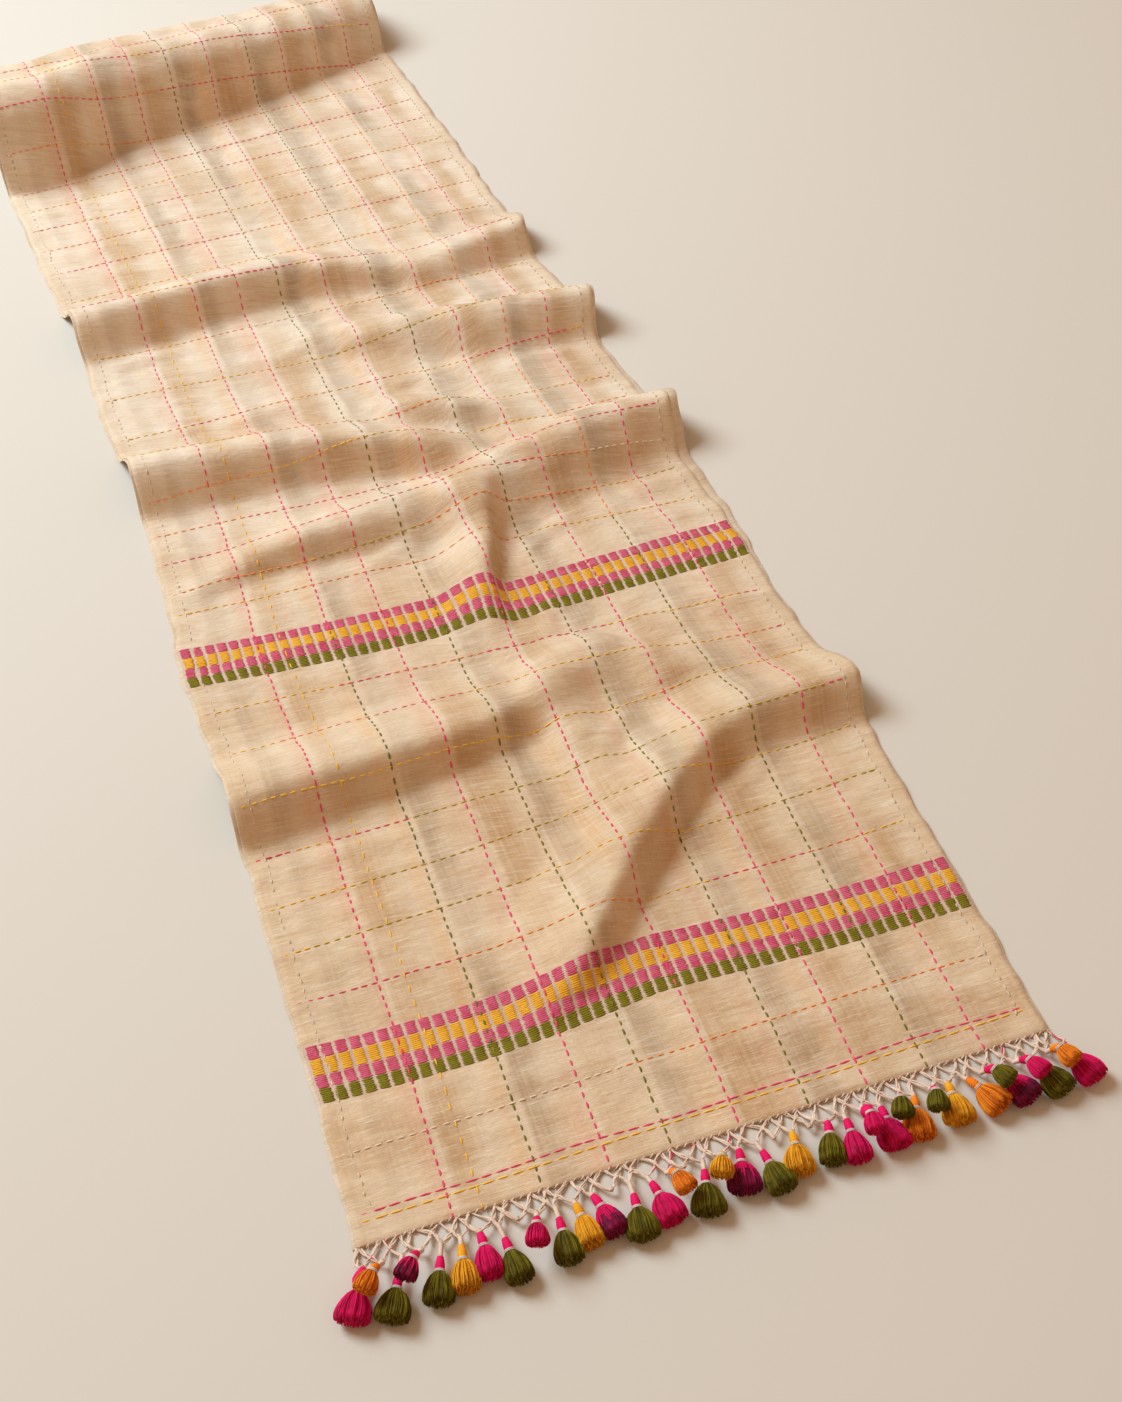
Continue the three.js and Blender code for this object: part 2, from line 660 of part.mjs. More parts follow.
// Ring of points round an axis point, in the plane of two directions.
function ringRound(centre, side, up, halfWidth, halfHeight, sides, turn) {
  const ring = [];
  for (let k = 0; k < sides; k += 1) {
    const angle = turn + 2 * Math.PI * k / sides;
    ring.push(centre.clone()
      .addScaledVector(side, halfWidth * Math.cos(angle))
      .addScaledVector(up, halfHeight * Math.sin(angle)));
  }
  return ring;
}

// A tassel: a bound neck and head, and locks that fan out from the head.
function tassel(row, index) {
  const knot = knotAcross(row.knot);
  const root = place(endAlong(knot) - 2 * GAP - NET_REACH, knot, netHeight(NET_REACH) + 1);
  const { halfHeight, length } = SKIRTS[row.tier];
  const lower = row.tier * BUD_SLOPE * (BUD_OUT - row.out);
  const middle = SKIRTS[row.tier].middle - lower;
  const skirt = place(endAlong(row.across) - row.out, row.across, middle);
  const level = skirt.clone().sub(root).setZ(0).normalize();
  const side = new THREE.Vector3(level.y, -level.x, 0);
  const up = new THREE.Vector3(0, 0, 1);
  const head = skirt.clone().addScaledVector(level, -length / 2);
  const tie = head.clone().addScaledVector(level, HEAD_LENGTH);
  const neckStart = root.clone().addScaledVector(level, NECK_START);
  const halfWidth = skirtHalfWidth(row);
  const bound = loft([
    ringRound(neckStart, side, up, NECK_RADIUS[0], NECK_RADIUS[0], HEAD_SIDES, 0),
    ringRound(head, side, up, NECK_RADIUS[1], NECK_RADIUS[1], HEAD_SIDES, 0),
    ringRound(tie, side, up, HEAD_RADIUS, HEAD_RADIUS, HEAD_SIDES, 0),
  ]);
  const locks = [];
  for (let k = 0; k < LOCKS; k += 1) {
    const angle = Math.PI / 2 + 2 * Math.PI * k / LOCKS;
    const fan = (share) => {
      const spread = (share - LOCK_ROOT) / (1 - LOCK_ROOT);
      const wide = THREE.MathUtils.lerp(LOCK_ROOT_RADIUS, halfWidth - LOCK_THICK, spread);
      const high = THREE.MathUtils.lerp(LOCK_ROOT_RADIUS, halfHeight - LOCK_THICK, spread);
      return skirt.clone()
        .addScaledVector(level, (share - 0.5) * length)
        .addScaledVector(side, Math.cos(angle) * wide)
        .addScaledVector(up, Math.sin(angle) * high);
    };
    const thick = Math.min(LOCK_THICK, (halfWidth - LOCK_THICK) * LOCK_NARROW);
    locks.push(loft([
      ringRound(fan(LOCK_ROOT), side, up, LOCK_ROOT_THICK, LOCK_ROOT_THICK, 3, angle),
      ringRound(fan(1), side, up, thick, LOCK_THICK, 3, angle),
    ]));
  }
  const name = `tassel_${String(index + 1).padStart(2, '0')}`;
  return piece(name, fuse([bound, ...locks]), TONES[row.tone], 0.75);
}

// ---------------------------------------------------------------- the saree

const group = new THREE.Group();
group.add(upperLayer(), underLayer(), rollTurns(), fringeNet());
TASSELS.forEach((row, index) => group.add(tassel(row, index)));

// The origin is on the floor, under the middle of the whole piece.
const box = new THREE.Box3().setFromObject(group);
group.position.set(-(box.min.x + box.max.x) / 2, -(box.min.y + box.max.y) / 2, 0);

export default group;
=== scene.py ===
"""A cotton saree, folded once along its length and laid out from a loose roll.

The tables are in millimetres and the meshes in metres. "along" is the distance from the
fringed end on the strip's centre line, and "across" the distance from that line, positive to
the right. "share" runs from -1 at the left hem to 1 at the right hem.
"""
import math

import bpy
import numpy as np
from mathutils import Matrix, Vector


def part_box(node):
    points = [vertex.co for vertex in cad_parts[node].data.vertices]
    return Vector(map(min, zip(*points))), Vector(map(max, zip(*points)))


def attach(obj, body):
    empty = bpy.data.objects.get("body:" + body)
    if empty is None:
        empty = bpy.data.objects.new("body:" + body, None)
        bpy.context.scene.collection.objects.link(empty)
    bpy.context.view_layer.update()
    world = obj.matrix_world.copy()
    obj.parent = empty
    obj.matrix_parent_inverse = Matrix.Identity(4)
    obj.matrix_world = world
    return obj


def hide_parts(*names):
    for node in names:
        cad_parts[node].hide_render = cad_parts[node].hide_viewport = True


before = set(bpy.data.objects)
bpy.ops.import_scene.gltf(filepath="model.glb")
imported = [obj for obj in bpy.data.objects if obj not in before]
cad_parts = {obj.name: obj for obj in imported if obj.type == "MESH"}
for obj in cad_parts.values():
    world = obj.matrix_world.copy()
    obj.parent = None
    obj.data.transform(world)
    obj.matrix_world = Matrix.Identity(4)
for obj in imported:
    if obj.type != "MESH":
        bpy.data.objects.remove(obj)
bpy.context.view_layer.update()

MM = 0.001


def rows(columns, *lines):
    """A table: its columns by name, each an array."""
    return dict(zip(columns.split(), np.array(lines, float).T))


def crest_rows(*lines):
    """A fold's rows: a place on the other axis, the crest's place and height there, and how
    far the fold reaches before and after the crest."""
    return rows("at place height before after", *lines)


# ---- sizes

CLOTH = 1.2                 # a hem's thickness
LAYER_GAP = 0.3
STRIP_TOP = 2 * CLOTH + LAYER_GAP
END_ALONG = 10
END_SKEW = 0.018
BEND = math.radians(3.645) / 1000
BEND_CENTRE = 900
PEEK_LEFT = 3               # the under layer stands out past the left hem
HEM = 14                    # width of the turned hems
COLUMNS, STRIP_ROWS, ROLL_CELLS = 120, 318, 82      # cells of the top layer's grid
SPIRAL_CELLS = 430
NET_KNOTS, NET_PITCH = 40, 14.77
NET_REACH = 20              # from the cloth's edge to the lowest knots
NET_CORD = 2.4
NET_SIDE = 287              # the net starts no farther across than this
NET_CROSS = 0.53            # share of the reach where neighbouring bundles cross
NET_FLOOR, NET_RISE = 0.5, 4.5      # height of the net's line at the edge, and its rise
NET_LIFT = 1.3              # from the net's line to the middle of its strands
STRAND, FINE_STRAND = (0.78, 0.7), (0.55, 0.5)      # radii in the surface and upwards
FRAYS, WHIP_POINTS = 150, 700
HALF_WIDTH = 288            # from the centre line to a hem
RIM = 0.45                  # how far a hem's rounded edge stands out
FLAT_ALONG = 600            # the charts' widths are the strip's width at this place
CHART_LEFT, CHART_HALF = 300, 500   # the charts' zero, and half their width in shares
UNDER_DYE, ROLLED_DYE = 3000, 2200  # where the dye of the hidden cloth is read along the saree
STITCHED_HALF = 283         # the stitched lines across end here
UP = np.array([0.0, 0.0, 1.0])

OUTLINE = rows(
    "along left right",
    (0, 288, 285), (140, 287, 288), (300, 289, 291), (420, 288, 297), (540, 290, 289),
    (650, 293, 290), (760, 286, 284), (880, 281, 287), (1010, 283, 282), (1090, 286, 291),
    (1210, 281, 277), (1330, 286, 283), (1560, 289, 287), (1850, 288, 290),
)
UNDER_PEEK = rows(
    "along right",
    (0, 2), (560, 3), (700, 9), (800, 13), (880, 8), (1000, 4), (1700, 3),
)

# Folds across the strip. Each leans forward by a share of its height. Its rows go from left to
# right, and before the crest is towards the fringe.
FOLDS_ACROSS = [
    ("far fold", 0.32, crest_rows(
        (-300, 1238, 46, 84, 66), (-200, 1246, 44, 58, 70), (-110, 1256, 42, 52, 74),
        (-20, 1258, 38, 46, 78), (70, 1240, 28, 46, 80), (135, 1222, 22, 44, 80),
        (190, 1228, 30, 42, 76), (300, 1250, 36, 44, 66))),
    ("right shoulder", 0.3, crest_rows(
        (-90, 1140, 0, 40, 50), (-35, 1130, 12, 44, 50), (50, 1110, 26, 56, 54),
        (160, 1080, 43, 62, 60), (215, 1071, 46, 60, 62), (300, 1064, 45, 56, 60))),
    ("left fold", 0.26, crest_rows(
        (-300, 938, 46, 60, 74), (-200, 930, 44, 52, 80), (-110, 920, 42, 48, 84),
        (-20, 898, 38, 46, 84), (45, 872, 28, 42, 70), (90, 846, 12, 38, 56),
        (125, 820, 0, 30, 40))),
    ("short crease", 0.2, crest_rows(
        (-50, 1000, 0, 30, 34), (5, 968, 14, 30, 40), (55, 952, 22, 32, 44),
        (98, 932, 20, 36, 42), (150, 915, 6, 36, 40), (180, 905, 0, 36, 40))),
    ("middle fold", 0.3, crest_rows(
        (-285, 748, 0, 26, 34), (-206, 775, 14, 32, 44), (-120, 788, 26, 40, 52),
        (-4, 797, 34, 66, 54), (58, 804, 40, 90, 52), (117, 822, 44, 96, 54),
        (190, 840, 48, 84, 58), (300, 846, 50, 66, 56))),
    ("near left fold", 0.28, crest_rows(
        (-300, 448, 38, 56, 80), (-225, 455, 38, 50, 86), (-130, 463, 35, 44, 88),
        (-45, 473, 30, 42, 80), (2, 490, 24, 44, 62), (60, 512, 10, 60, 46),
        (110, 524, 0, 60, 40))),
    ("soft swell", 0.1, crest_rows(
        (0, 520, 0, 50, 30), (55, 532, 15, 62, 38), (96, 530, 19, 66, 42),
        (130, 505, 16, 60, 46), (200, 480, 4, 50, 50), (250, 480, 0, 50, 50))),
    ("near diagonal fold", 0.3, crest_rows(
        (-125, 150, 0, 40, 60), (-95, 172, 6, 44, 80), (-55, 200, 20, 50, 110),
        (-20, 238, 30, 58, 118), (20, 284, 34, 58, 110), (72, 334, 34, 54, 96),
        (120, 374, 33, 50, 84), (180, 404, 33, 46, 74), (300, 412, 36, 50, 66))),
]
# Folds along the strip: their rows go towards the roll, and before the crest is to its left.
FOLDS_ALONG = [
    ("hooked fold", 0.3, crest_rows(
        (560, -12, 0, 50, 34), (600, -2, 9, 52, 34), (655, 9, 20, 52, 32),
        (700, 24, 26, 54, 32), (750, 38, 22, 60, 36), (795, 50, 8, 60, 40),
        (825, 56, 0, 60, 40))),
    ("saddle", 0.1, crest_rows(
        (350, 40, 0, 30, 40), (400, 30, 9, 32, 44), (455, 28, 12, 34, 50),
        (500, 22, 0, 34, 44))),
]
# Small creases: the middle, the way it runs (degrees from the line across, turning towards the
# roll), half its length, half its width, and its height, negative for a trough.
CREASES = rows(
    "along across turn length width height",
    (862, -250, 8, 60, 16, -3.5), (905, -225, -6, 70, 13, 2.6), (1170, -235, 6, 70, 15, 2.8),
    (1140, -215, 4, 60, 16, -2.4), (1330, 215, 12, 70, 17, 3.2), (1355, 120, 8, 60, 18, -2.2),
    (1420, -150, -5, 90, 22, 2.6), (1470, 40, 7, 100, 24, -2.4), (1530, -210, -4, 80, 18, 2.2),
    (1180, 60, 24, 60, 14, -3.2), (1160, 10, 32, 56, 13, 3.0), (1205, 200, -14, 50, 13, -2.6),
    (1015, 60, -20, 60, 15, 3.2), (990, 140, -28, 66, 15, -3.0), (1000, 230, -12, 60, 14, 2.8),
    (1020, -120, 14, 80, 18, 2.4), (985, -190, 6, 70, 16, -2.2), (880, 160, -16, 60, 14, 3.0),
    (735, -60, 24, 60, 15, 3.0), (705, -110, 18, 70, 16, -2.6), (680, 90, 40, 50, 13, -3.2),
    (720, 110, 32, 52, 13, 2.8), (700, 180, 18, 70, 15, -2.4), (745, 235, 10, 50, 13, 2.8),
    (640, -180, 6, 90, 18, 2.0), (590, 60, 66, 50, 13, 2.6), (560, -60, 20, 80, 17, -2.6),
    (545, 180, -30, 70, 14, 3.0), (520, 225, -36, 60, 13, -2.8), (560, 250, -20, 50, 12, 2.4),
    (400, -210, -7, 80, 15, -2.6), (378, -180, -4, 90, 16, 2.2), (420, 60, 52, 50, 13, 3.0),
    (440, 110, 40, 50, 13, -2.8), (330, 150, 30, 60, 14, 2.8), (352, 230, 12, 60, 14, -2.6),
    (300, -20, 58, 60, 14, -2.8), (262, -70, 50, 60, 14, 2.4), (225, 40, 36, 70, 16, 2.2),
    (170, 20, 30, 90, 18, -1.8), (110, -150, -6, 120, 24, 1.4), (80, 120, 5, 140, 26, 1.4),
)
CREASE_DEPTH = 1.25         # of the height in the table
CREASE_BOW = 0.0009         # times the square of the run from the crease's middle
ROLL_FOOT = rows(
    "across along",
    (-300, 1584), (-215, 1594), (-134, 1636), (-40, 1660), (80, 1690), (200, 1730), (300, 1768),
)
# Section of the roll's outer turn at its left and right end: depth behind the foot and height.
# The last rows run back along the floor, under the roll.
ROLL_SECTION = rows(
    "left_depth left_height right_depth right_height",
    (0, 2.7, 0, 2.7), (12, 6, 8, 5), (24, 28, 15, 18), (33, 64, 21, 38), (48, 99, 33, 57),
    (78, 119, 56, 67), (112, 111, 80, 68), (140, 96, 102, 64), (172, 98, 122, 56),
    (202, 89, 137, 44), (224, 62, 147, 29), (236, 30, 152, 15), (231, 7, 149, 5),
    (210, 3, 137, 3),
)
ROLL_FLOOR_ROWS = rows(
    "left_depth left_height right_depth right_height",
    (160, 3, 110, 3), (100, 3, 72, 3), (50, 3, 38, 3), (24, 6, 18, 5),
)
ROLL_TURNS = 7
ROLL_START = 0.74           # share of a turn, from the foot, where the inner turns start
ROLL_HALF = 290             # half the distance between the two sections
ROLL_ALONG = 1600           # the roll is as wide as the strip is at this place

# Stitched lines along the strip: share of the width from the left, thread, stitch and gap, and
# where the thread changes, the place and the thread beyond it.
LINES_ALONG = [
    (0.128, "pink", 6.6, 2.9), (0.168, "yellow", 7.4, 7.5),
    (0.250, "olive", 6.2, 3.1, 650, "pink"), (0.345, "pink", 6.8, 3.0),
    (0.432, "olive", 6.2, 3.2), (0.530, "pink", 6.6, 3.0), (0.632, "olive", 6.0, 3.1),
    (0.720, "pink", 6.8, 3.1), (0.812, "olive", 6.2, 3.0, 720, "orange"),
    (0.900, "pink", 6.6, 3.0),
]
# Stitched lines across: where they meet the left and the right hem, and their threads in turn.
LINES_ACROSS = [
    (24, 37, "yellow"), (29.2, 41.8, "pink"),
    (83, 97, "pale orange pale pale"), (229, 246, "pink orange orange yellow"),
    (281, 308, "moss yellow moss"), (332, 365, "yellow moss moss"),
    (390, 404, "pink yellow pink moss"), (436, 472, "moss yellow yellow orange"),
    (525, 508, "yellow yellow orange pink"), (581, 560, "pink yellow pink orange"),
    (726, 715, "yellow orange yellow"), (757, 765, "orange yellow moss"),
    (806, 800, "pink orange pale pink"), (856, 834, "pink orange pink"),
    (898, 900, "orange yellow yellow"), (962, 942, "yellow orange"),
    (1028, 1030, "yellow pink yellow"), (1106, 1083, "yellow moss pink"),
    (1184, 1192, "yellow orange pale"), (1252, 1258, "pink yellow"),
    (1320, 1329, "yellow yellow orange"), (1388, 1395, "pink orange yellow"),
    (1444, 1455, "orange yellow yellow"), (1496, 1512, "pink yellow"), (1545, 1572, "yellow pink"),
    (1589, 1626, "pink orange"), (1645, 1690, "orange yellow"), (1703, 1755, "pink orange"),
    (1758, 1808, "yellow pink"), (1812, 1858, "orange pink"),
]
# Woven bands: the place of the edge nearer the fringe, from hem to hem. Each row of blocks:
# its start and depth within the band, counted from the fringe, and its thread.
BANDS = rows(
    "share near far",
    (-1, 131.5, 621.5), (-0.57, 129.5, 611.5), (-0.27, 136, 607.5), (0, 146, 605),
    (0.1, 146, 602.5), (0.5, 141.5, 607.5), (1, 143, 612.5),
)
BAND_DEPTH = 56
BLOCK_ROWS = [(0.3, 13.4, "olive"), (14.3, 12.4, "pink"), (27.4, 14.8, "yellow"),
              (42.9, 12.8, "pink")]
BLOCKS_ACROSS = 50
BLOCK_SHARE = 0.80          # of a block's pitch, the rest is bare ground
RIB_PITCH = 1.9
RIB_ARCH = np.array([-0.35, 0.16, 0.24, 0.16, -0.35])
STITCH_ARCH = np.array([-0.35, 0.28, 0.42, 0.28, -0.35])

# Tassels: the knot each hangs from, its skirt's place across, the middle's distance out from
# the cloth, 1 for a bud, and its colour.
TASSELS = [
    (0, -300, 46, 0, "magenta"), (1, -287, 38, 1, "orange"), (2, -273, 54, 0, "olive"),
    (3, -257, 38, 1, "plum"), (4, -239, 52, 0, "olive"), (5, -219, 49, 0, "yellow"),
    (6, -200, 44, 0, "magenta"), (7, -182, 54, 0, "olive"), (9, -162, 44, 1, "magenta"),
    (10, -142, 52, 0, "olive"), (11, -124, 45, 0, "yellow"), (12, -106, 42, 0, "plum"),
    (14, -84, 52, 0, "olive"), (15, -62, 47, 0, "magenta"), (16, -47, 38, 1, "orange"),
    (18, -30, 50, 0, "olive"), (19, -14, 36, 1, "yellow"), (20, 2, 42, 0, "plum"),
    (21, 26, 50, 0, "olive"), (23, 47, 42, 0, "yellow"), (25, 75, 42, 0, "olive"),
    (26, 93, 46, 0, "magenta"), (27, 109, 40, 1, "magenta"), (28, 124, 45, 0, "magenta"),
    (29, 136, 34, 1, "olive"), (30, 147, 44, 0, "orange"), (31, 164, 38, 1, "olive"),
    (32, 181, 42, 0, "yellow"), (33, 210, 42, 0, "orange"), (34, 222, 34, 1, "olive"),
    (35, 236, 42, 0, "plum"), (36, 251, 36, 1, "magenta"), (37, 265, 44, 0, "olive"),
    (38, 279, 34, 1, "orange"), (39, 294, 42, 0, "magenta"),
]
# Skirts lie on the floor; buds are smaller tassels that lie on their neighbours. A row gives
# half the width and height, the length, and the height of the middle.
SKIRTS = [(14.2, 9.0, 28, 9.2), (9.6, 7.0, 20, 25.4)]
SKIRT_CORE = 0.84           # of the skirt's width and height
BUD_OUT = 40                # a bud lies lower where it is nearer the net than this
BUD_SLOPE = 0.35
SKIRT_THREADS = (230, 150)
THREAD_RADIUS = 0.52
HEAD = 3.4                  # from the skirt's nominal start to the tie
BULBS = (1, 23)
NECK_WOUND, NECK_BULB = 11.5, 19    # length of the dyed winding above the tie
NECK, CORD, TIE_RING = 2.7, 1.9, 3.9    # radii of the winding, the pale cord and the tie's ring

# Stripes of dye along the strip: the place of the sharp edge, how far the dye fades away from
# it (negative to the left), tint and strength. A stripe's number is its seed.
DYE_ALONG = [
    (-262, 26, "grey", 0.35), (-216, -20, "rose", 0.50), (-210, 40, "brown", 0.85),
    (-148, -18, "peach", 0.55), (-140, 30, "grey", 0.80), (-92, -22, "rose", 0.55),
    (-84, 42, "brown", 0.90), (-34, 30, "grey", 0.85), (10, -24, "peach", 0.55),
    (21, 44, "brown", 0.95), (70, -16, "rose", 0.50), (80, 32, "grey", 0.85),
    (120, -18, "peach", 0.50), (131, 42, "brown", 0.95), (184, 32, "grey", 0.90),
    (226, -18, "rose", 0.50), (235, 32, "brown", 0.85),
]
TINTS = {
    "grey": (0.75, 0.71, 0.67), "rose": (0.97, 0.81, 0.77), "brown": (0.83, 0.73, 0.62),
    "peach": (1.02, 0.89, 0.76), "hem": (0.955, 0.925, 0.88),
}
DYE_STRENGTH = 1.55
# Painted light: these tones make the cloth darker and warmer near the fringe and paler and cooler
# towards the roll.
NEAR_PAINTED_LIGHT, FAR_PAINTED_LIGHT = (0.91, 0.955, 0.99), (0.11, 0.235, 0.46)   # what the far end adds

# Streaks of noise in the cotton: how many there are in a metre of weft and of warp, their
# detail, and the values where they start and where they are full.
STREAKS = {
    "slubs": ((38, 640), 3, 0.53, 0.80), "fine": ((150, 1500), 2, 0.35, 0.75),
    "warp": ((900, 30), 3, 0.42, 0.78), "cloud": ((22, 34), 3, 0.3, 0.7),
    "combed": ((380, 8), 4, 0.30, 0.62), "bars": ((13, 230), 4, 0.50, 0.74),
    "dark": ((30, 520), 3, 0.52, 0.82), "broken": ((400, 26), 2, 0.38, 0.60),
    "swell": ((20, 34), 3, 0.2, 0.8),
}
STREAK_TINTS = {
    "bars": (0.93, 0.87, 0.79), "cloud": (0.93, 0.88, 0.83), "fine": (0.90, 0.84, 0.77),
    "warp": (0.975, 0.96, 0.945), "dark": (0.86, 0.78, 0.68),
}
SLUB, PALE_WARP, BAND_GROUND = (0.92, 0.84, 0.70), (0.78, 0.76, 0.70), (0.58, 0.42, 0.39)
PAIRED_WARP = (0.009, 0.0022, 0.34)     # share of the width right of a stitched line, reach, weight


# ---- curves

def curve(table, value, at):
    """A cubic through the table's rows, with the slope of each row's two neighbours. The first
    column holds the places and value names the column that is followed."""
    x, y = next(iter(table.values())), table[value]
    at = np.clip(at, x[0], x[-1])
    i = np.clip(np.searchsorted(x, at, side="left") - 1, 0, len(x) - 2)
    before, after = np.r_[0, :len(x) - 1], np.r_[1:len(x), len(x) - 1]
    slope = (y[after] - y[before]) / (x[after] - x[before])
    span = x[i + 1] - x[i]
    t = (at - x[i]) / span
    rise = t * t * (3 - 2 * t)
    ends = t * (1 - t) ** 2 * span * slope[i] + t * t * (t - 1) * span * slope[i + 1]
    return y[i] * (1 - rise) + y[i + 1] * rise + ends


def bump(reach):
    """Half a cosine wave: 1 at a reach of 0, and 0 from a reach of 1 on."""
    return 0.5 + 0.5 * np.cos(np.pi * np.clip(np.abs(reach), 0, 1))


def smooth(low, high, at):
    """The cubic step 3t^2 - 2t^3 from 0 at low to 1 at high."""
    t = np.clip((at - low) / (high - low), 0, 1)
    return t * t * (3 - 2 * t)


def ripple(seed, x, y, length_x, length_y, waves=9):
    """A sum of plane waves of seeded direction and phase, about -1 to 1, whose lengths spread
    round length_x and length_y."""
    draw = np.random.default_rng(seed)
    total = 0
    for _ in range(waves):
        stretch = draw.uniform(0.6, 1.7)
        angle, phase = draw.uniform(0, 2 * np.pi, 2)
        total = total + np.sin(2 * np.pi * stretch * (x * np.cos(angle) / length_x
                                                      + y * np.sin(angle) / length_y) + phase)
    return total / math.sqrt(waves * 2)


def fold_height(crest, at, place):
    """The crest's height at this line, times a bump of the distance from the crest."""
    height = np.maximum(curve(crest, "height", at), 0)
    offset = place - curve(crest, "place", at)
    reach = np.where(offset < 0, curve(crest, "before", at), curve(crest, "after", at))
    return height * bump(offset / reach)


def bend(along, across, z):
    """Strip coordinates become a point: the centre line is an arc of curvature BEND."""
    turn = BEND * (along - BEND_CENTRE)
    x = (np.cos(turn) - 1) / BEND + across * np.cos(turn)
    y = np.sin(turn) / BEND + across * np.sin(turn)
    return np.stack(np.broadcast_arrays(x, y, z), -1)


def crease_height(along, across):
    """Each crease is a bump across its width times a bump along its length, on a line that
    bows by the square of the run from its middle."""
    total = 0
    for middle, side, turn, length, width, height in zip(*CREASES.values()):
        turn = math.radians(turn)
        step_along, step_across = along - middle, across - side
        run = step_across * math.cos(turn) + step_along * math.sin(turn)
        off = step_along * math.cos(turn) - step_across * math.sin(turn) + CREASE_BOW * run ** 2
        depth = CREASE_DEPTH * height
        total = total + depth * bump(run / (1.5 * length)) * bump(off / (1.4 * width))
    return total


def crinkle(along, across):
    """Listed creases, and soft seeded waves that are longer across than along."""
    fade = smooth(0, 70, along - END_ALONG)
    waves = 0.85 * ripple(3, across, along, 130, 46) + 0.4 * ripple(4, across, along, 50, 24)
    return crease_height(along, across) + fade * waves + 0.5


def strip_surface(along, across):
    """The top layer's upper side: every fold adds its height and leans over by it."""
    z, forward, sideways = STRIP_TOP, 0, 0
    for _, lean, crest in FOLDS_ACROSS:
        height = fold_height(crest, across, along)
        z, forward = z + height, forward + lean * height
    for _, lean, crest in FOLDS_ALONG:
        height = fold_height(crest, along, across)
        z, sideways = z + height, sideways + lean * height
    lift = crinkle(along, across)
    z = z + np.where(lift > 0, lift, lift * np.clip((z - STRIP_TOP) / 6, 0, 1))
    return bend(along - forward, across + sideways, z)


def edge_across(share, along):
    """Distance from the centre line at this share of the width."""
    left, right = curve(OUTLINE, "left", along), curve(OUTLINE, "right", along)
    return share * np.where(share < 0, left, right)


# ---- the cloth's grid

def roll_share(across):
    """0 at the roll's left section and 1 at its right one."""
    return np.clip((across + ROLL_HALF) / (2 * ROLL_HALF), 0, 1)


def section_point(table, at, across):
    """Depth and height of the roll's section, between its left and right ends."""
    share = roll_share(across)
    table = {"row": np.arange(len(table["left_depth"])), **table}
    left, right = ([curve(table, f"{side}_{size}", at) for size in ("depth", "height")]
                   for side in ("left", "right"))
    return [first * (1 - share) + second * share for first, second in zip(left, right)]


def cloth_grid(shares):
    """Upper side of the top layer, one column for each share: rows from the fringed end over
    the folds to the foot of the roll, then over the roll and under its back."""
    shares = shares[None, :]
    start_across = edge_across(shares, 0.0)
    start = END_ALONG + END_SKEW * start_across
    foot = curve(ROLL_FOOT, "along", start_across)
    step = np.linspace(0, 1, STRIP_ROWS)[:, None]
    along = start + (foot - start) * step
    across = edge_across(shares, along)
    across = across + 1.5 * shares ** 3 * ripple(15, along, shares * 40, 64, 300)
    strip = strip_surface(along, across)

    at = np.linspace(0, len(ROLL_SECTION["left_depth"]) - 1, ROLL_CELLS + 1)[1:, None]
    roll_across = np.broadcast_to(edge_across(shares, ROLL_ALONG), (ROLL_CELLS, shares.size))
    depth, height = section_point(ROLL_SECTION, at, roll_across)
    loose = bump((at - 6) / 6.5)
    sag = 2.4 * ripple(11, roll_across, at * 30, 210, 150)
    sag = sag + 1.1 * ripple(12, roll_across, at * 30, 70, 90)
    foot_along = curve(ROLL_FOOT, "along", roll_across)
    roll = bend(foot_along + depth, roll_across, np.maximum(height + loose * sag, STRIP_TOP))
    grid = np.concatenate([strip, roll])
    return grid, np.concatenate([along, np.repeat(along[-1:], ROLL_CELLS, 0)])


def unit(vectors):
    """Each vector divided by its length."""
    return vectors / np.maximum(np.linalg.norm(vectors, axis=-1, keepdims=True), 1e-9)


def grid_normals(grid):
    """Normals from the lines between each point's neighbours."""
    rows_out = np.pad(grid, ((1, 1), (0, 0), (0, 0)), mode="edge")
    columns_out = np.pad(grid, ((0, 0), (1, 1), (0, 0)), mode="edge")
    ahead = rows_out[2:] - rows_out[:-2]
    right = columns_out[:, 2:] - columns_out[:, :-2]
    return unit(np.cross(right, ahead))


def lengths(grid):
    """Running length of each column's line, from the first row."""
    step = np.linalg.norm(np.diff(grid, axis=0), axis=-1)
    return np.concatenate([np.zeros_like(step[:1]), np.cumsum(step, axis=0)])


SHARES = np.linspace(-1, 1, COLUMNS + 1)
GRID, GRID_ALONG = cloth_grid(SHARES)
NORMALS = grid_normals(GRID)
RUN = lengths(GRID)
CHART = np.concatenate([
    GRID_ALONG[:STRIP_ROWS],
    GRID_ALONG[STRIP_ROWS - 1] + RUN[STRIP_ROWS:] - RUN[STRIP_ROWS - 1],
])
ACROSS = np.broadcast_to(edge_across(SHARES[None, :], FLAT_ALONG), RUN.shape)


def from_edge(across, out, height):
    """A point so far out from the cloth's fringed end, which runs a little askew."""
    return bend(END_ALONG + END_SKEW * across - out, across, height)


# The frame's origin, from the net's corners.
net_side = (NET_KNOTS - 1) / 2 * NET_PITCH + NET_CORD / 2
net_corners = from_edge(net_side * np.array([-1, -1, 1, 1]),
                        LAYER_GAP + NET_REACH * np.array([0, 1, 0, 1]), np.zeros(4))
net_box = np.array([list(corner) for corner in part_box("fringe_net")])[:, :2] / MM
SHIFT = np.append(net_box.mean(0) - (net_corners.min(0) + net_corners.max(0))[:2] / 2, 0)


# ---- meshes

def add_object(name, data):
    """A new object at the origin."""
    thing = bpy.data.objects.new(name, data)
    bpy.context.collection.objects.link(thing)
    return thing


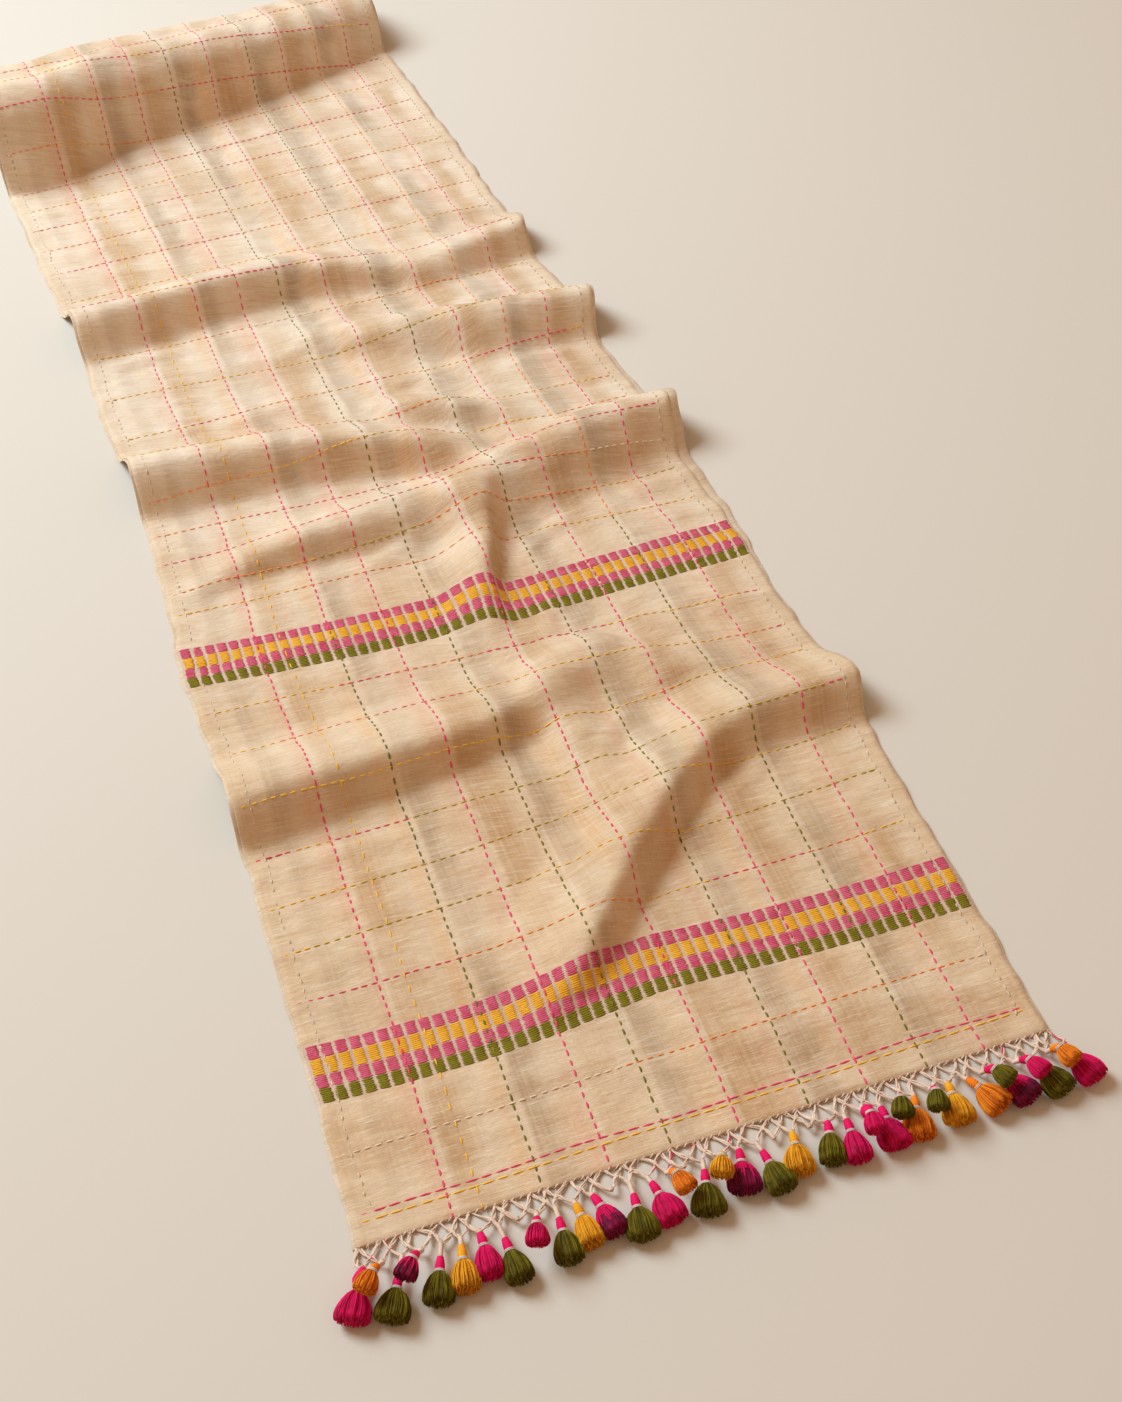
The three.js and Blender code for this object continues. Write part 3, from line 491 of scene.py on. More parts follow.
def gather(groups):
    """Several parts become one, with the faces sorted by their number of corners. A group is a
    material's number and a part: its points, its face arrays, each of one width, and, where
    the faces of the first array differ, their own material numbers."""
    points, faces, marks, count = [], {}, {}, 0
    for number, (some, blocks, *own) in groups:
        for place, block in enumerate(blocks):
            mark = own[0] if own and place == 0 else np.full(len(block), number)
            faces.setdefault(block.shape[1], []).append(block + count)
            marks.setdefault(block.shape[1], []).append(mark)
        points.append(some)
        count += len(some)
    faces, marks = ([np.concatenate(kind[width]) for width in sorted(kind)]
                    for kind in (faces, marks))
    return np.concatenate(points), faces, np.concatenate(marks)


def make_piece(name, groups, materials, uv=None, tint=None):
    """A mesh from groups of parts in millimetres, with its charts and its dye."""
    points, faces, marks = gather(groups)
    corners = np.concatenate([block.ravel() for block in faces]).astype(np.int32)
    widths = np.concatenate([np.full(len(block), block.shape[1]) for block in faces])
    starts = np.concatenate([[0], np.cumsum(widths)[:-1]]).astype(np.int32)
    mesh = bpy.data.meshes.new(name)
    mesh.vertices.add(len(points))
    mesh.vertices.foreach_set("co", ((points + SHIFT) * MM).ravel())
    mesh.loops.add(len(corners))
    mesh.loops.foreach_set("vertex_index", corners)
    mesh.polygons.add(len(starts))
    mesh.polygons.foreach_set("loop_start", starts)
    for label, values in (uv or {}).items():
        layer = mesh.uv_layers.new(name=label)
        layer.data.foreach_set("uv", (values * MM)[corners].ravel())
    if tint is not None:
        attribute = mesh.color_attributes.new("dye", "FLOAT_COLOR", "POINT")
        attribute.data.foreach_set("color", np.insert(tint, 3, 1.0, axis=1).ravel())
    for material in materials:
        mesh.materials.append(material)
    mesh.polygons.foreach_set("material_index", marks.astype(np.int32))
    mesh.update(calc_edges=True)
    mesh.shade_smooth()
    return add_object(name, mesh)


def quads_of(index):
    """Faces of a grid of point numbers, seen from the side that its normals point to."""
    corners = [index[:-1, :-1], index[:-1, 1:], index[1:, 1:], index[1:, :-1]]
    return np.stack(corners, -1).reshape(-1, 4)


def shell(upper, lower, bulge):
    """A thin wall: the upper grid, the lower grid, and round its rim a rounded edge, which is
    the middle of both rims pushed outwards by bulge."""
    high, wide = upper.shape[:2]
    top = np.arange(high * wide).reshape(high, wide)
    bottom = top + high * wide
    ring_top = np.concatenate([top[0, :-1], top[:-1, -1], top[-1, :0:-1], top[:0:-1, 0]])
    ring_bottom = ring_top + high * wide
    points = np.concatenate([upper.reshape(-1, 3), lower.reshape(-1, 3)])
    inside = upper[np.clip(ring_top // wide, 1, high - 2), np.clip(ring_top % wide, 1, wide - 2)]
    middle = (points[ring_top] + points[ring_bottom]) / 2 + bulge * unit(points[ring_top] - inside)
    rim = 2 * high * wide + np.arange(len(ring_top))
    after = np.roll(np.arange(len(ring_top)), -1)
    sides = [
        np.stack([ring_top, rim, rim[after], ring_top[after]], -1),
        np.stack([rim, ring_bottom, ring_bottom[after], rim[after]], -1),
    ]
    points = np.concatenate([points, middle])
    return points, [quads_of(top), quads_of(bottom)[:, ::-1], *sides], ring_top


def tubes(paths, side_radius, up_radius, up, sides):
    """One closed tube along each path. Its rings are ellipses, side_radius wide in the surface
    and up_radius high along up."""
    count, rings = paths.shape[:2]
    ahead = unit(np.gradient(paths, axis=1))
    across = unit(np.cross(ahead, np.broadcast_to(up, paths.shape)))
    up = np.cross(across, ahead)
    angle = (2 * np.pi * np.arange(sides) / sides)[:, None]
    side_radius, up_radius = (np.broadcast_to(radius, (count, rings))[..., None, None]
                              for radius in (side_radius, up_radius))
    points = (paths[:, :, None] + across[:, :, None] * side_radius * np.cos(angle)
              + up[:, :, None] * up_radius * np.sin(angle))
    index = np.arange(count * rings * sides).reshape(count, rings, sides)
    after = np.roll(index, -1, axis=2)
    walls = np.stack([index[:, :-1], after[:, :-1], after[:, 1:], index[:, 1:]], -1)
    caps = np.concatenate([index[:, 0, ::-1], index[:, -1]])
    return points.reshape(-1, 3), [walls.reshape(-1, 4), caps]


# ---- places on the cloth

def band_start(key, share):
    """Place of a band's edge nearer the fringe."""
    return curve(BANDS, key, share)


CHART_STEP = 2.0            # spacing of the marks that find the grid's rows
CHART_MARKS = np.arange(0, CHART.max(), CHART_STEP)
ROW_OF = np.stack([np.interp(CHART_MARKS, CHART[:, j], np.arange(len(CHART)))
                   for j in range(COLUMNS + 1)], 1)


def blend_grid(grid, row, column):
    """Bilinear value of a grid at fractional rows and columns."""
    i = np.clip(row.astype(int), 0, grid.shape[0] - 2)
    j = np.clip(column.astype(int), 0, grid.shape[1] - 2)
    down, over = row - i, column - j
    if grid.ndim == 3:
        down, over = down[..., None], over[..., None]
    return ((grid[i, j] * (1 - over) + grid[i, j + 1] * over) * (1 - down)
            + (grid[i + 1, j] * (1 - over) + grid[i + 1, j + 1] * over) * down)


def on_cloth(share, along, lift):
    """Points and normals on the cloth's upper side at shares of the width and distances along,
    which go on over the roll."""
    share, along = np.broadcast_arrays(share, along)
    column = (share + 1) / 2 * COLUMNS
    row = blend_grid(ROW_OF, along / CHART_STEP, column)
    normal = unit(blend_grid(NORMALS, row, column))
    return blend_grid(GRID, row, column) + normal * lift[..., None], normal


# ---- materials

class Finish:
    """A material and short ways to add its nodes. Settings in capitals are sockets, and each
    takes a number, a colour or another node's output."""

    def __init__(self, name, **sockets):
        """The shader's own sockets take the values that are the same all over."""
        self.material = bpy.data.materials.new(name)
        self.material.use_nodes = True
        self.tree = self.material.node_tree
        self.shader = self.tree.nodes["Principled BSDF"]
        self.set(self.shader, sockets)

    def feed(self, socket, value):
        """Joins an output to the socket, or sets the socket's own value."""
        if isinstance(value, bpy.types.NodeSocket):
            self.tree.links.new(value, socket)
        else:
            socket.default_value = (*value, 1) if socket.type == "RGBA" else value

    def set(self, node, settings):
        """Sockets by their names in capitals, and the node's own settings by the others."""
        for key, value in settings.items():
            if key[0].isupper():
                self.feed(node.inputs[key.replace("_", " ")], value)
            else:
                setattr(node, key, value)

    def add(self, kind, output=0, values=(), **settings):
        """The output of a new node, whose sockets can also be given by number."""
        node = self.tree.nodes.new(f"ShaderNode{kind}")
        self.set(node, settings)
        for number, value in values:
            self.feed(node.inputs[number], value)
        return node.outputs[output]

    def figure(self, operation, *values):
        """A sum, product or comparison of numbers."""
        return self.add("Math", 0, enumerate(values), operation=operation)

    def mix(self, kind, amount, first, second):
        """Two colours mixed by an amount."""
        values = ((0, amount), (6, first), (7, second))
        return self.add("Mix", 2, values, data_type="RGBA", blend_type=kind)

    def streaks(self, source, scale, detail, low, high):
        """Noise stretched by scale, turned into a mask that rises from low to high."""
        place = self.add("Mapping", Vector=source, Scale=(*scale, 1.0))
        noise = self.add("TexNoise", Vector=place, Scale=1.0, Detail=detail, Roughness=0.55)
        return self.add("MapRange", Value=noise, From_Min=low, From_Max=high)

    def ramp(self, source, stops):
        """A ramp of greys through the given stops, each a place and a grey."""
        output = self.add("ValToRGB", values=[(0, source)])
        stops = sorted(stops)
        elements = output.node.color_ramp.elements
        elements[0].position, elements[1].position = stops[0][0], stops[-1][0]
        for place, _ in stops[1:-1]:
            elements.new(place)
        for element, (_, grey) in zip(elements, stops):
            element.color = (grey, grey, grey, 1)
        return output

    def done(self, colour, relief):
        """The material, with its colour and relief joined to the shader."""
        self.set(self.shader, {"Base_Color": colour, "Normal": relief})
        return self.material


def handloom_cotton(name, ground, charted):
    """Plain-woven cotton with slubs, faint warp and weft streaks and a soft nap. Where it is
    charted it has the pale paired warp threads, and a pink ground between the bands' blocks."""
    cotton = Finish(name, Roughness=0.86, Specular_IOR_Level=0.25, Sheen_Weight=0.18,
                    Sheen_Roughness=0.5)
    weave = cotton.add("UVMap", uv_map="weave")

    def streak(kind):
        """One of the streaks in the table, on the cloth's own chart."""
        return cotton.streaks(weave, *STREAKS[kind])

    slubs, fine = streak("slubs"), streak("fine")
    combed = cotton.figure("MULTIPLY_ADD", streak("combed"), 0.40, 0.62)
    dyed = cotton.mix("MIX", combed, (1, 1, 1), cotton.add("VertexColor", layer_name="dye"))
    colour = cotton.mix("MULTIPLY", 1.0, ground, dyed)
    for kind, tint in STREAK_TINTS.items():
        colour = cotton.mix("MULTIPLY", fine if kind == "fine" else streak(kind), colour, tint)
    colour = cotton.mix("MIX", cotton.figure("MULTIPLY", slubs, 0.62), colour, SLUB)
    if charted:
        chart = cotton.add("SeparateXYZ", Vector=cotton.add("UVMap", uv_map="chart")).node
        away, reach, weight = PAIRED_WARP
        stops = [(0, 0)]
        for share, tone, *_ in LINES_ALONG:
            if tone != "yellow":
                middle = share + away
                stops += [(middle - reach, 0), (middle, weight), (middle + reach, 0)]
        pale = cotton.mix("MULTIPLY", 1.0, cotton.ramp(chart.outputs[0], stops), streak("broken"))
        colour = cotton.mix("MIX", pale, colour, PALE_WARP)
        # The chart's second value is the distance from the nearest band's middle line.
        inside = cotton.figure("LESS_THAN", chart.outputs[1], BAND_DEPTH / 2 * MM)
        colour = cotton.mix("MIX", cotton.figure("MULTIPLY", inside, 0.5), colour, BAND_GROUND)
    thread = cotton.add("TexWave", 1, wave_type="BANDS", bands_direction="Y", Vector=weave,
                        Scale=900.0, Distortion=0.6)
    relief = cotton.figure("ADD", cotton.figure("MULTIPLY_ADD", thread, 0.35, fine), slubs)
    swell = cotton.add("Bump", Strength=0.9, Distance=0.0026, Height=streak("swell"))
    dent = cotton.add("Bump", Strength=0.55, Distance=0.00045, Height=relief, Normal=swell)
    return cotton.done(colour, dent)


def dyed_thread(name, colour, dark, sheen=0.06):
    """Dyed cotton thread: its colour wanders between two tones, with a fine twist in relief."""
    thread = Finish(name, Roughness=0.72, Specular_IOR_Level=0.2, Sheen_Weight=sheen,
                    Sheen_Roughness=0.45)
    place = thread.add("TexCoord", "Object")
    tone = thread.streaks(place, (105, 105), 3, 0.32, 0.70)
    fibre = thread.streaks(place, (1680, 1680), 2, 0.3, 0.7)
    shade = thread.mix("MIX", tone, colour, dark)
    dent = thread.add("Bump", Strength=0.4, Distance=0.0002, Height=fibre)
    return thread.done(thread.mix("MULTIPLY", fibre, shade, (0.82, 0.80, 0.80)), dent)


# The under layer and the rolled turns are copies of the cotton with a darker ground: painted shade
# on the cloth that lies under the top layer and inside the roll.
COTTON, COTTON_UNDER_SHADED, COTTON_ROLLED_SHADED = (
    handloom_cotton(f"handloom_cotton{layer}", ground, layer == "")
    for layer, ground in (("", (0.865, 0.68, 0.495)), ("_under", (0.81, 0.63, 0.45)),
                          ("_rolled", (0.83, 0.645, 0.46))))
THREADS = {tone: dyed_thread(f"{tone}_thread", *pair) for tone, *pair in (
    ("pink", (0.88, 0.055, 0.19), (0.92, 0.13, 0.25)),
    ("orange", (1.0, 0.27, 0.07), (1.0, 0.42, 0.10)),
    ("yellow", (1.0, 0.56, 0.02), (1.0, 0.64, 0.08)),
    ("pale", (0.92, 0.78, 0.62), (0.84, 0.66, 0.50)),
    ("olive", (0.12, 0.125, 0.018), (0.30, 0.28, 0.045)),
    ("moss", (0.50, 0.39, 0.03), (0.68, 0.52, 0.06)),
    ("cream", (0.84, 0.70, 0.54), (0.52, 0.40, 0.28)),
)}
WEFTS = {tone: dyed_thread(f"{tone}_weft", *dyes) for tone, *dyes in (
    ("pink", (0.62, 0.075, 0.155), (0.74, 0.17, 0.27), 0.04),
    ("yellow", (0.82, 0.40, 0.018), (0.90, 0.52, 0.06), 0.04),
    ("olive", (0.185, 0.155, 0.004), (0.26, 0.225, 0.012), 0.02),
)}
SKEINS, DEEP_AND_SHADE_SKEINS = {}, {}
for tone, bright, dark in (
    ("magenta", (0.74, 0.002, 0.105), (0.84, 0.006, 0.15)),
    ("plum", (0.10, 0.005, 0.022), (0.30, 0.005, 0.07)),
    ("orange", (0.90, 0.20, 0.008), (0.93, 0.33, 0.018)),
    ("yellow", (0.86, 0.34, 0.010), (0.92, 0.47, 0.025)),
    ("olive", (0.130, 0.105, 0.002), (0.225, 0.185, 0.006)),
):
    # The deep tone, 0.42 of the bright one, goes at random on some threads and on the lower part of
    # others, and as painted shade on a skirt's core and on its threads' cut ends.
    deep = [0.42 * part for part in bright]
    SKEINS[tone] = dyed_thread(f"{tone}_skein", bright, dark, 0)
    DEEP_AND_SHADE_SKEINS[tone] = dyed_thread(f"{tone}_skein_deep_and_shade", deep, bright, 0)
TIE = dyed_thread("white_tie", (0.80, 0.76, 0.73), (0.62, 0.57, 0.52))
WARP_ENDS = dyed_thread("warp_ends", (0.90, 0.73, 0.60), (0.70, 0.52, 0.42), 0.1)


# ---- the two layers of the strip

def dye(across, along):
    """Product of the soft stripes: each one rises at its sharp edge, fades away from it and is
    broken along its length by seeded waves. Over them lie fainter weft bars, warm clouds,
    painted light that makes the cloth darker near the fringe and paler towards the roll, and
    paler hems."""
    colour = np.ones((*across.shape, 3))

    def tinted(weight, tint):
        """White at a weight of 0, and the tint at 1."""
        return 1 - weight[..., None] * (1 - np.array(TINTS[tint]))

    strong = 1 + 0.15 * smooth(900, 1500, along)
    for seed, (edge, reach, tint, strength) in enumerate(DYE_ALONG, 1):
        off = across - edge - 1.5 * ripple(seed, along, across, 60, 900, 4)
        off = off * math.copysign(1, reach)
        patch = 0.35 + 0.65 * smooth(-0.7, 0.5, ripple(seed + 40, along, across, 330, 500, 8))
        reach = abs(reach) * (1 + 0.25 * ripple(seed + 60, along, across, 90, 400, 5))
        fade = smooth(-1.5, 3, off) * (1 - smooth(0.35, 1.1, off / reach))
        speckle = 1 + 0.25 * ripple(seed + 90, along, across, 30, 130, 7)
        weight = DYE_STRENGTH * strength * patch * fade * strong * speckle
        colour *= tinted(np.clip(weight, 0, 1.3), tint)
    colour *= tinted(0.55 * smooth(0.0, 0.6, ripple(71, along, across, 90, 330, 8)), "brown")
    colour *= tinted(0.30 * smooth(-0.6, 1.2, ripple(72, along, across, 260, 170, 7)), "peach")
    # Painted light: darker near the fringe, paler and cooler towards the roll.
    far = smooth(300, 1150, along)[..., None]
    colour *= np.array(NEAR_PAINTED_LIGHT) + far * np.array(FAR_PAINTED_LIGHT)
    edge = np.abs(across) > np.abs(across).max() - HEM
    colour = np.where(edge[..., None], colour * np.array(TINTS["hem"]), colour)
    return np.clip(colour, 0, 1.4)


def hem_relief():
    """How much the upper side stands up near the long hems: the turned hem is thicker by half
    a layer, dips at its seam, and puckers along it."""
    inside = HALF_WIDTH - np.abs(ACROSS)
    turned = 0.45 * smooth(HEM + 2.5, HEM - 1.5, inside)
    seam = -0.45 * bump((inside - HEM) / 3.2)
    pucker = 0.5 * ripple(21, CHART, ACROSS, 16, 60) * bump((inside - HEM) / 17)
    return turned + seam + pucker


def paired(first, second):
    """Two grids of numbers as one list of pairs."""
    return np.stack(np.broadcast_arrays(first, second), -1).reshape(-1, 2)


def cloth_piece(name, sheets, material):
    """A piece of one or more sheets. Each is its upper and lower side, how far its rim stands
    out, its dye and its charts, and the rim takes these from the upper side."""
    parts, dyes, maps = [], [], {}
    for top, bottom, bulge, tint, charts in sheets:
        points, faces, ring = shell(top, bottom, bulge)
        parts.append((0, (points, faces)))
        tint = tint.reshape(-1, 3)
        dyes.append(np.concatenate([tint, tint, tint[ring]]))
        for key, flat in charts.items():
            maps.setdefault(key, []).append(np.concatenate([flat, flat, flat[ring]]))
    maps = {key: np.concatenate(flats) for key, flats in maps.items()}
    return make_piece(name, parts, [material], maps, np.concatenate(dyes))


def upper_cloth():
    """The top layer, from the fringed end over the folds and the roll."""
    top = GRID + NORMALS * hem_relief()[..., None]
    bottom = GRID - NORMALS * CLOTH
    band = np.min([np.abs(CHART - band_start(key, SHARES[None, :]) - BAND_DEPTH / 2)
                   for key in ("near", "far")], axis=0)
    charts = {"weave": paired(ACROSS + CHART_LEFT, RUN),
              "chart": paired((SHARES + 1) * CHART_HALF, band)}
    piece = cloth_piece("upper_cloth", [(top, bottom, RIM, dye(ACROSS, CHART), charts)], COTTON)
    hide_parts("upper_layer")
    return piece


def under_cloth():
    """The second layer: the same surface one layer lower, standing out past both hems."""
    keep = np.linspace(0, COLUMNS, 41).round().astype(int)
    grid, up = GRID[:, keep], NORMALS[:, keep]
    spread = unit(grid[:, -1] - grid[:, 0])
    wave = [0.8 * ripple(seed, CHART[:, side], 0, 90, 90) for seed, side in ((32, 0), (31, -1))]
    left = grid[:, 0] - spread * (PEEK_LEFT + wave[0])[:, None]
    right = grid[:, -1] + spread * (curve(UNDER_PEEK, "right", CHART[:, -1]) + wave[1])[:, None]
    grid = np.concatenate([left[:, None], grid, right[:, None]], 1)
    up = np.concatenate([up[:, :1], up, up[:, -1:]], 1)
    top = grid - up * (CLOTH + LAYER_GAP)
    bottom = grid - up * (2 * CLOTH + LAYER_GAP - 0.1)
    bottom[..., 2] = np.maximum(bottom[..., 2], 0.1)
    top[..., 2] = np.maximum(top[..., 2], bottom[..., 2] + 0.5)
    across = np.concatenate([[-292], ACROSS[0, keep], [294]])
    tint = dye(*np.broadcast_arrays(across[None], CHART[:, :1] + UNDER_DYE))
    charts = {"weave": paired(across + CHART_LEFT, RUN[:, :1])}
    piece = cloth_piece("under_cloth", [(top, bottom, RIM, tint, charts)], COTTON_UNDER_SHADED)
    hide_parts("under_layer")
    return piece


def spiral_grid(shares):
    """The turns inside the roll: the roll's own section, shrunk towards its middle as it goes
    round, each turn lying on the one below it at the bottom."""
    table = {key: np.concatenate([ROLL_SECTION[key][1:], ROLL_FLOOR_ROWS[key]])
             for key in ROLL_SECTION}
    table = {key: np.append(column, column[0]) for key, column in table.items()}
    turn = np.linspace(ROLL_START, ROLL_START + ROLL_TURNS, SPIRAL_CELLS)[:, None]
    around = (turn % 1) * (len(table["left_depth"]) - 1)
    across = edge_across(shares[None, :], ROLL_ALONG) + 0 * turn
    uneven = 1 + 0.012 * ripple(51, turn * 300, across, 260, 400)
    across = across * (0.985 + 0.008 * np.sin(5 * turn) + 0.006 * np.sin(13.7 * turn))
    depth, height = section_point(table, around, across)
    left = roll_share(across)
    middle = 124 * (1 - left) + 80 * left
    inner = turn - ROLL_START
    size = (1 - 0.055 - 0.80 * (inner / ROLL_TURNS) ** 0.9) * uneven
    depth = middle + (depth - middle) * size
    height = 2.7 + 3.1 * inner + (height - 3) * size * 0.97
    return bend(curve(ROLL_FOOT, "along", across) + depth, across, height), across


def rolled_turns():
    """The doubled cloth inside the roll, two sheets side by side."""
    shares = np.array([-1, -0.985, -0.95, -0.88, -0.6, -0.2, 0.2, 0.6, 0.88, 0.95, 0.985, 1.0])
    grid, across = spiral_grid(shares)
    up, run = grid_normals(grid), lengths(grid)
    tint, charts = dye(across, run + ROLLED_DYE), {"weave": paired(across + CHART_LEFT, run)}
    sheets = [(grid - up * deep, grid - up * (deep + 1.1), 0.3, tint, charts)
              for deep in (0.0, 1.5)]
    piece = cloth_piece("rolled_turns", sheets, COTTON_ROLLED_SHADED)
    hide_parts("roll_turns")
    return piece, float(run[-1].mean())


# ---- stitches

SLOTS = {"pink": "thread_magenta", "orange": "thread_orange", "yellow": "thread_yellow",
         "olive": "thread_olive", "moss": "thread_olive", "pale": "warp_ends"}
BOLD, FINE = 0.84, 0.70     # half the width of a stitch along the strip, and across it
STEPS = np.linspace(0, 1, 5)


def stitch_tubes(share, along, lift, radius):
    """Each stitch is a tube over five places: its ends go into the cloth and its middle stands
    above it."""
    paths, normal = on_cloth(share, along, STITCH_ARCH + lift[:, None])
    swell = radius[:, None] * np.array([0.75, 1, 1.05, 1, 0.75])
    return tubes(paths, swell, 0.25 + swell * 0.3, normal, 4)


def line_along(seed, share, tone, stitch, gap, change=math.inf, beyond=""):
    """Running stitches from the fringed end to the far side of the roll. The pitch is a stitch
    and a gap, both a little uneven, and the thread grows finer from 500 to 1100 mm."""
    draw = np.random.default_rng(seed)
    start, end = 3.5, float(CHART[:, int(share * COLUMNS)].max()) - 30
    count = int((end - start) / (stitch + gap))
    first = start + (stitch + gap) * np.arange(count) + draw.uniform(-0.6, 0.6, count)
    length = stitch * draw.uniform(0.8, 1.12, count)
    along = first[:, None] + length[:, None] * STEPS
    shares = np.full_like(along, 2 * share - 1) + draw.uniform(-0.0014, 0.0014, (count, 1))
    bold = FINE if tone == "yellow" else BOLD
    radius = bold - (bold - FINE) * smooth(500, 1100, first)
    return shares, along, np.where(first < change, tone, beyond), radius


def line_across(seed, left, right, tones):
    """Running stitches from hem to hem, longer in the two lines next to the fringe. The
    thread changes every 50 to 150 mm."""
    draw = np.random.default_rng(seed)
    tones = np.array(tones.split())
    pitch, gap = (12.0, 1.0) if left < 60 else (9.0, 2.3)
    count = int(2 * STITCHED_HALF / pitch)
    first = -STITCHED_HALF + pitch * np.arange(count) + draw.uniform(-0.6, 0.6, count)
    length = (pitch - gap) * draw.uniform(0.88, 1.08, count)
    shares = (first[:, None] + length[:, None] * STEPS) / HALF_WIDTH
    drift = 1.6 * ripple(seed, shares * HALF_WIDTH, 0, 240, 240)
    along = left + (right - left) * (shares + 1) / 2 + drift
    change = np.cumsum(draw.uniform(0.3, 1.5, count) < 0.42)
    return shares, along, tones[change % len(tones)], np.full(count, FINE)


def band_lift(share, along):
    """Extra height of a stitch that crosses the blocks of a band."""
    lift = np.zeros(len(along))
    for key in ("near", "far"):
        start = band_start(key, share[:, 2])
        inside = (along[:, 2] > start) & (along[:, 2] < start + BAND_DEPTH)
        lift = np.where(inside, 0.55, lift)
    return lift


def stitched_lines():
    """All the running stitches, one piece for each thread."""
    made = [line_along(seed, *row) for seed, row in enumerate(LINES_ALONG, 100)]
    made += [line_across(seed, *row) for seed, row in enumerate(LINES_ACROSS, 200)]
    share, along, tone, radius = (np.concatenate(part) for part in zip(*made))
    lift = band_lift(share, along)
    pieces = []
    for thread in SLOTS:
        use = tone == thread
        part = stitch_tubes(share[use], along[use], lift[use], radius[use])
        piece = make_piece(f"running_stitches_{thread}", [(0, part)], [THREADS[thread]])
        pieces.append(piece)
    return pieces


def hem_stitches():
    """Cream stitches along both long hems, which turn towards the fringe at the corners."""
    draw = np.random.default_rng(61)
    shares, places = [], []
    for side in (-1, 1):
        first = np.arange(34, CHART[:, 0].max() - 30, 8.6)
        first = first + draw.uniform(-0.7, 0.7, len(first))
        along = first[:, None] + 5.2 * STEPS
        seam = HALF_WIDTH - HEM + 0.9 * ripple(62 + side, along, 0, 60, 60)
        seam = seam - 10 * bump((along - 14) / 34)
        shares.append(side * seam / HALF_WIDTH)
        places.append(along)
    share, along = np.concatenate(shares), np.concatenate(places)
    part = stitch_tubes(share, along, np.full(len(along), 0.15), np.full(len(along), 0.85))
    piece = make_piece("hem_stitches", [(0, part)], [THREADS["cream"]])
    return piece


def band_blocks():
    """The woven bands: each block is a stack of weft ribs that float over one pitch, and
    each rib a flat tube whose ends dip into the cloth."""
    draw = np.random.default_rng(81)
    parts = {}
    edges = np.linspace(-0.997, 0.997, BLOCKS_ACROSS + 1)
    pitch = edges[1] - edges[0]
    for key in ("near", "far"):
        for start, depth, thread in BLOCK_ROWS:
            ribs = int(round(depth / RIB_PITCH))
            step = depth / ribs
            block = np.repeat(np.arange(BLOCKS_ACROSS), ribs)
            rib = np.tile(np.arange(ribs), BLOCKS_ACROSS)
            slack = draw.uniform(-0.04, 0.04, (2, len(block)))
            begin = edges[block] + pitch * (0.5 - BLOCK_SHARE / 2 + slack[0])
            end = edges[block] + pitch * (0.5 + BLOCK_SHARE / 2 + slack[1])
            share = begin[:, None] + (end - begin)[:, None] * STEPS
            tilt = draw.uniform(-0.25, 0.25, len(block))[:, None] * np.linspace(-1, 1, 5)
            along = band_start(key, share) + start + step * (rib + 0.5)[:, None] + tilt
            lift = RIB_ARCH + draw.uniform(0, 0.12, len(block))[:, None]
            lift = lift + 0.6 * smooth(0.94, 0.96, np.abs(share))
            paths, normal = on_cloth(share, along, lift)
            width = step * 0.54 * np.array([0.8, 1, 1, 1, 0.8])
            parts.setdefault(thread, []).append((0, tubes(paths, width, 0.45, normal, 5)))
    pieces = []
    for thread, groups in parts.items():
        piece = make_piece(f"band_blocks_{thread}", groups, [WEFTS[thread]])
        pieces.append(piece)
    return pieces


# ---- the fringe

def knot_across(knot):
    """Place across of a knot, counted from the left."""
    return (knot - (NET_KNOTS - 1) / 2) * NET_PITCH


def net_height(out):
    """The net rises by the smooth step from the cloth's edge to its lowest knots."""
    return NET_FLOOR + NET_RISE * smooth(0, NET_REACH, out)


